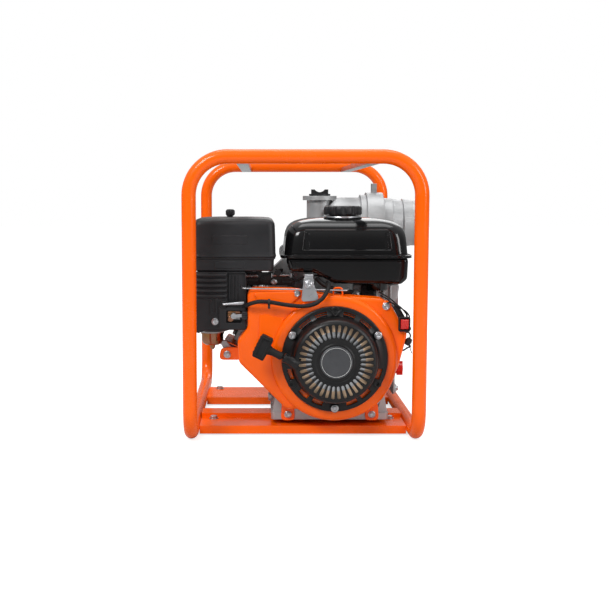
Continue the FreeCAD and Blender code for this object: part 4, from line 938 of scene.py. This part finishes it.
def make_choke_lever():
    pin = Build().turned([(0, -5), (1.6, -5), (2.2, -3), (2.6, 12), (3.4, 24), (3.6, 34), (3, 36.4), (0, 36.4)],
                         (-151, 55.6, 260.6), (1, -0.03, 0.07), 24)
    finish(pin, "choke_lever_pin", "zinc_steel", "choke_lever", replaces="choke_lever")
    hub = Build()
    hub.turned([(0, 0), (5.2, 0), (6.6, 1), (7, 2), (7, 3.4), (3, 3.4), (3, 16), (0, 16)], (-154, 54.6, 260), ALONG_Y,
               36)
    slab(hub, [(-157, 257.5), (-140, 258.5), (-140, 263.5), (-157, 263)], 56.2, 58.2, 2, 0.5)
    finish(hub, "choke_lever_hub", "black_steel", "choke_lever", bevel=0.3)


def make_controls():
    plate = Build()
    slab(plate, [(-122, 293), (-16, 293), (-14, 303), (-34, 313), (-62, 319), (-104, 319), (-122, 308)], 108, 110.2, 5,
         0.8)
    rim(plate, box_outline(-112, -84, 298, 308, 4), box_outline(-109, -87, 300.5, 305.5, 2.4), 106.4, 108.6, 0.5)
    rim(plate, box_outline(-42, -20, 297, 306, 3.5), box_outline(-39, -23, 299.5, 303.5, 1.8), 106.4, 108.6, 0.5)
    plate.block((-122, 108, 317.8), (-92, 140, 320))
    plate.block((-30, 109, 291), (-16, 138, 293.2))
    plate.turned([(0, 0), (6.5, 0), (7, 0.6), (7, 7), (5.2, 9.2), (0, 9.2)], (-46, 122, 313.5), ALONG_Z, 24)
    plate.block((-53.5, 120.6, 318), (-38.5, 123.4, 324.6))
    finish(plate, "control_plate_pressed", "black_steel", replaces="control_plate", bevel=0.4)
    bright = Build()
    hex_bolt(bright, (-57, 108, 299), TO_FRONT, 5)
    hex_bolt(bright, (-98, 112, 320), ALONG_Z, 4.5)
    bright.turned(rect(0, 1.4, 0, 34), (-60, 104, 313), ALONG_X, 16)
    bright.block((-62, 101, 309), (-60, 108, 317))
    bright.block((-24, 101, 309), (-22, 108, 317))
    finish(bright, "control_bright_parts", "zinc_steel", bevel=0.2)
    spring("stop_screw_spring", (-59, 104, 313), 26, 11, 3, 0.6)
    tube("breather_hose", [(28, 100, 306), (34, 88, 300), (48, 80, 292), (66, 79, 285), (84, 86, 281), (96, 104, 280)],
         4.6, sides=12)
    tube("throttle_cable", [(-24, 112, 300), (-8, 100, 304), (4, 92, 312), (22, 96, 314), (40, 110, 310)], 1.8)
    bracket = Build()
    slab(bracket, [(-165, 183), (-151, 185), (-141, 170), (-146, 164), (-156, 168)], 97, 108, 3, 1.2)
    finish(bracket, "cylinder_side_bracket", "cast_aluminium")


def make_tank_brackets():
    """Tank brackets, and the castings and block between tank and crankcase."""
    steel = Build()
    slab(steel, [(-6, 267), (29, 270), (19, 299), (17, 315), (-1, 315), (-2.5, 299)], 33.2, 36.8, 7, 0.8)
    steel.turned([(3.2, 0), (3.2, 2.2), (7.6, 2.2), (8.6, 1.2), (8.6, 0)], (8, 33.4, 300.6), TO_FRONT, 36)
    slab(steel, rect(0, 17, 318.9, 312), 34, 40, 1.5, 1)
    steel.block((1, 35, 315.7), (17.5, 110, 319.3))
    steel.block((1, 106.4, 254.8), (17.5, 109.8, 319.3))
    steel.block((-20, 240, 315.7), (16, 304, 319.3))
    steel.block((-20, 300.4, 240), (16, 303.8, 319.3))
    steel.block((122, 180.5, 292.2), (198, 240, 295.3))
    slab(steel, rect(122, 198, 226, 295.3), 176.2, 179.8, 6, 0.8)
    finish(steel, "tank_bracket_steel", "zinc_steel", replaces="tank_brackets", bevel=0.4)
    cast = Build()
    slab(cast, [(104, 291), (197, 291), (193, 262), (178, 252), (144, 249), (128, 262), (104, 262)], 150, 175.8, 5,
         2.5)
    cast.turned([(4.2, 0), (8.2, 0), (9.2, 1), (9.6, 14), (4.2, 14)], (108, 143, 271), ALONG_Y, 36)
    for x in (150, 164, 178):
        slab(cast, rect(x - 1.8, x + 1.8, 258, 288), 146.5, 151, 1.2, 0.8)
    finish(cast, "crankcase_upper_casting", "cast_aluminium", bevel=0.3)
    ribbed = Build()
    slab(ribbed, rect(119, 146, 290, 264), 140, 150.4, 3, 1.4)
    for k in range(5):
        slab(ribbed, rect(121.5, 143.5, 267 + 4.6 * k, 269 + 4.6 * k), 138.2, 141, 0.8, 0.6)
    finish(ribbed, "regulator_block", "black_plastic")


CASE_RIGHT = 183
CASE_BOLTS = ((126, 84), (126, 236), (206, 84), (284, 84), (284, 222))
SENSOR = (140, 0, 156)


def face_right(build):
    """Turns what was drawn facing the front so that it faces right, on the crankcase's side."""
    build.verts = [Vector((CASE_RIGHT - v.y, v.x, v.z)) for v in build.verts]
    return build


def make_crankcase_side():
    side = Build()
    slab(side, [(114, 72), (294, 72), (294, 232), (250, 250), (114, 250)], -2.2, 1, 14, 1.8)
    for y in (176, 200, 224, 248):
        slab(side, rect(y - 2.2, y + 2.2, 96, 214), -5.4, 0, 2, 1.6)
    for y, z in CASE_BOLTS:
        side.turned([(0, 0), (8.4, 0), (9.4, 1.2), (9.8, 5.2), (0, 5.2)], (y, -5, z), ALONG_Y, 28)
    side.turned([(17, 1), (17, -4.2), (21.4, -4.8), (24, -3), (24.6, 1)], (150, 0, 121), ALONG_Y, 56)
    side.turned([(0, 1), (8.5, 1), (8.5, -5), (7.4, -6), (0, -6)], SENSOR, ALONG_Y, 28)
    finish(face_right(side), "crankcase_side_casting", "cast_aluminium", bevel=0.3)
    heads = Build()
    for y, z in CASE_BOLTS:
        hex_bolt(heads, (y, -4.9, z), TO_FRONT, 6)
    finish(face_right(heads), "crankcase_side_bolts", "zinc_steel", bevel=0.25)
    boot = Build().turned([(0, -5), (5.4, -5), (5.4, -9), (4, -12), (2.6, -16), (0, -16)], SENSOR, ALONG_Y, 24)
    finish(face_right(boot), "oil_sensor_boot", "black_rubber")


def make_guard_louvres():
    """Pressed louvres on the left face of the muffler guard."""
    low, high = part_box("muffler_guard")
    x = (low[0] - OFF_X) * 1000
    start = (low[1] - OFF_Y) * 1000 + 12
    end = (high[1] - OFF_Y) * 1000 - 12
    louvres = Build()
    for k in range(5):
        z = high[2] * 1000 - 16 - 9 * k
        louvres.loft([[(x + 0.6, y, z - 3.2 * share), (x - 2.6 * share, y, z - 2.6 * share),
                       (x - 2.9 * share, y, z - 1.6 * share), (x + 0.6, y, z + 3.2 * share)]
                      for y, share in ((start, 0.1), (start + 3, 0.8), (start + 6, 1), (end - 6, 1), (end - 3, 0.8),
                                       (end, 0.1))])
    finish(louvres, "muffler_guard_louvres", "zinc_steel", bevel=0.2)


def make_bolts():
    bolts = Build()
    for x, z in COVER_BOLTS:
        hex_bolt(bolts, (x, SHROUD_FRONT - 0.2, z), TO_FRONT, 6)
    for x, z in EARS:
        hex_bolt(bolts, (x, 87.9, z), TO_FRONT, 6)
    for degrees in HOUSING_BOLTS_AT:
        hex_bolt(bolts, round_shaft(HOUSING_BOLT_R, degrees, 23.6), TO_FRONT, 6)
    hex_bolt(bolts, (8, 31.6, 300.6), TO_FRONT, 5.5)
    hex_bolt(bolts, (-171.4, 61.5, 226.3), TO_FRONT, 6)
    hex_bolt(bolts, (108, 143.4, 271), TO_FRONT, 5)
    for x in (-46.5, 46.5):
        for y in (-50, 50):
            hex_bolt(bolts, on_cylinder(x, y, 192), CYLINDER_TILT @ ALONG_Z, 5)
    finish(bolts, "cover_bolt_heads", "zinc_steel", replaces="cover_bolts", bevel=0.25)


# ---- switch and wires

SWITCH = (192, 224)


def make_switch():
    x, z = SWITCH
    body = Build()
    rim(body, box_outline(x - 11, x + 11, z - 14, z + 14, 3), box_outline(x - 8.2, x + 8.2, z - 11.2, z + 11.2, 1.2),
        32.2, 44, 1)
    slab(body, rect(x - 10, x + 10, z - 13, z + 13), 42, 44.2, 2, 0.4)
    slab(body, [(170, 257), (180, 262), (207, 214), (198, 203)], 44, 47.8, 4, 1)
    for step in (-5, 5):
        body.block((x + step - 1.6, 40, z + 13.5), (x + step + 1.6, 43.4, z + 19))
    finish(body, "engine_switch_case", "black_plastic", replaces="engine_switch_body", bevel=0.3)
    rocker = Build()
    rings = []
    for step, y in ((-9.6, 35.6), (-9.3, 34), (-8.6, 32.6), (-5, 31.2), (0, 30), (5, 29.3), (8.4, 29), (9.3, 30),
                    (9.6, 32)):
        rings.append([(x - 7.6, 37.5, z + step), (x - 7.6, y + 1, z + step), (x - 6.7, y, z + step),
                      (x + 6.7, y, z + step), (x + 7.6, y + 1, z + step), (x + 7.6, 37.5, z + step)])
    rocker.loft(rings)
    for k in range(3):
        rocker.block((x - 4.5, 29.2 + 0.2 * k, z + 6.4 - 2.4 * k), (x + 4.5, 31, z + 7.4 - 2.4 * k))
    finish(rocker, "engine_switch_paddle", "red_plastic", "switch_rocker", replaces="engine_switch_rocker", bevel=0.3)
    tube("switch_wire_a", [(158, 50, 262), (164, 44, 267), (173, 40, 262), (181, 39, 252), (187, 39, 246),
                           (187, 41, 242)],
         1.5, replaces="wire_harness")
    tube("switch_wire_b", [(148, 74, 282), (155, 55, 279), (165, 44, 273), (177, 38, 262), (190, 37, 252),
                           (197, 41, 242)],
         1.5)
    tube("switch_wire_c", [(150, 72, 276), (158, 52, 273), (168, 40, 264), (184, 35, 256), (201, 37, 244),
                           (204, 44, 226),
                           (202, 49, 208)], 1.3)
    tube("sensor_wire", [(201, 49, 208), (207, 54, 202), (206, 60, 194), (203, 60, 190)], 1.5)
    tube("sensor_wire_lower", [(203, 60, 184), (208, 68, 178), (211, 84, 174), (208, 110, 168), (206, 130, 161),
                               (198, 140, 156.4),
                               (186, 140, 156)], 1.7)
    tube("wire_tie", [(200, 57, 186), (206, 56, 178), (207, 56, 171), (210, 56, 165)], 0.8)
    plug = Build().turned([(0, -7.4), (4.2, -7.4), (5.6, -5.8), (6.6, -2.6), (6.6, 2.6), (5.8, 3.4), (5.8, 5.4),
                           (3.4, 7.6),
                           (0, 7.6)], (203, 60, 187.5), (0.5, -0.1, 0.86), 28)
    finish(plug, "sensor_connector", "black_plastic", bevel=0.3)


for make_group in (make_housing, make_pull, make_reel, make_badge, make_fan_cover, make_lower_shroud, make_tank,
                   make_cap, make_air_cleaner, make_lines, make_intake_cover, make_choke_lever, make_controls,
                   make_tank_brackets, make_crankcase_side, make_guard_louvres, make_bolts, make_switch):
    make_group()


# ---- floor, light and camera

FLOOR_REACH = 14
FLOOR_GREY = 0.55
FLOOR_GLOW = 0.72
LIGHTS_AIM = (0, 0, 0.28)
# Each light's name, place, width and height, and power.
LIGHTS = (("key", (-1.5, -2.2, 2.3), (1, 0.8), 60), ("fill", (2.1, -1.9, 1.2), (0.6, 1.5), 27),
          ("top", (0.1, 0.2, 2.7), (2, 1.2), 24), ("back", (0.6, 2.4, 1.7), (1.8, 1.2), 14))
CAMERA_AT = (-0.1099, -2.2893, 0.466)
CAMERA_PITCH = 84.14
CAMERA_LENS = 61.9
CAMERA_SENSOR = 36
CAMERA_SHIFT = 0.0724


def make_floor():
    """A pale ground that glows for camera rays only, so that it stays white behind the object."""
    mesh = bpy.data.meshes.new("studio_floor")
    mesh.from_pydata([(x, y, 0) for x, y in rect(-FLOOR_REACH, FLOOR_REACH, -FLOOR_REACH, FLOOR_REACH)], [],
                     [(0, 1, 2, 3)])
    floor = put("studio_floor", mesh)
    mat = bpy.data.materials.new("pale_floor")
    mat.use_nodes = True
    bsdf = mat.node_tree.nodes["Principled BSDF"]
    fill(bsdf, Base_Color=(FLOOR_GREY, FLOOR_GREY, FLOOR_GREY, 1), Roughness=0.9, Emission_Color=(1, 1, 1, 1))
    seen = mat.node_tree.nodes.new("ShaderNodeLightPath").outputs["Is Camera Ray"]
    mat.node_tree.links.new(arith(mat.node_tree, "MULTIPLY", seen, FLOOR_GLOW), bsdf.inputs["Emission Strength"])
    mesh.materials.append(mat)


def area_light(name, position, size, power):
    data = bpy.data.lights.new(name, "AREA")
    data.shape = "RECTANGLE"
    data.size, data.size_y = size
    data.energy = power
    light = put(name, data)
    light.location = position
    light.rotation_euler = (Vector(LIGHTS_AIM) - Vector(position)).to_track_quat("-Z", "Y").to_euler()


def make_studio():
    make_floor()
    world = bpy.data.worlds.new("studio")
    bpy.context.scene.world = world
    world.use_nodes = True
    tree = world.node_tree
    background = tree.nodes["Background"]
    background.inputs[1].default_value = 1
    split = tree.nodes.new("ShaderNodeSeparateXYZ")
    tree.links.new(tree.nodes.new("ShaderNodeTexCoord").outputs["Generated"], split.inputs[0])
    height = span(tree, split.outputs[2], -0.1, 0.8, 0.05, 0.78)
    seen = tree.nodes.new("ShaderNodeLightPath").outputs["Is Camera Ray"]
    tree.links.new(arith(tree, "MAXIMUM", height, seen), background.inputs[0])
    bpy.context.scene.view_settings.view_transform = "Standard"
    for light in LIGHTS:
        area_light(*light)


def make_camera():
    data = bpy.data.cameras.new("camera")
    data.lens = CAMERA_LENS
    data.sensor_width = CAMERA_SENSOR
    data.shift_x = CAMERA_SHIFT
    camera = put("camera", data)
    camera.location = CAMERA_AT
    camera.rotation_euler = (radians(CAMERA_PITCH), 0, 0)
    bpy.context.scene.camera = camera


make_studio()
make_camera()
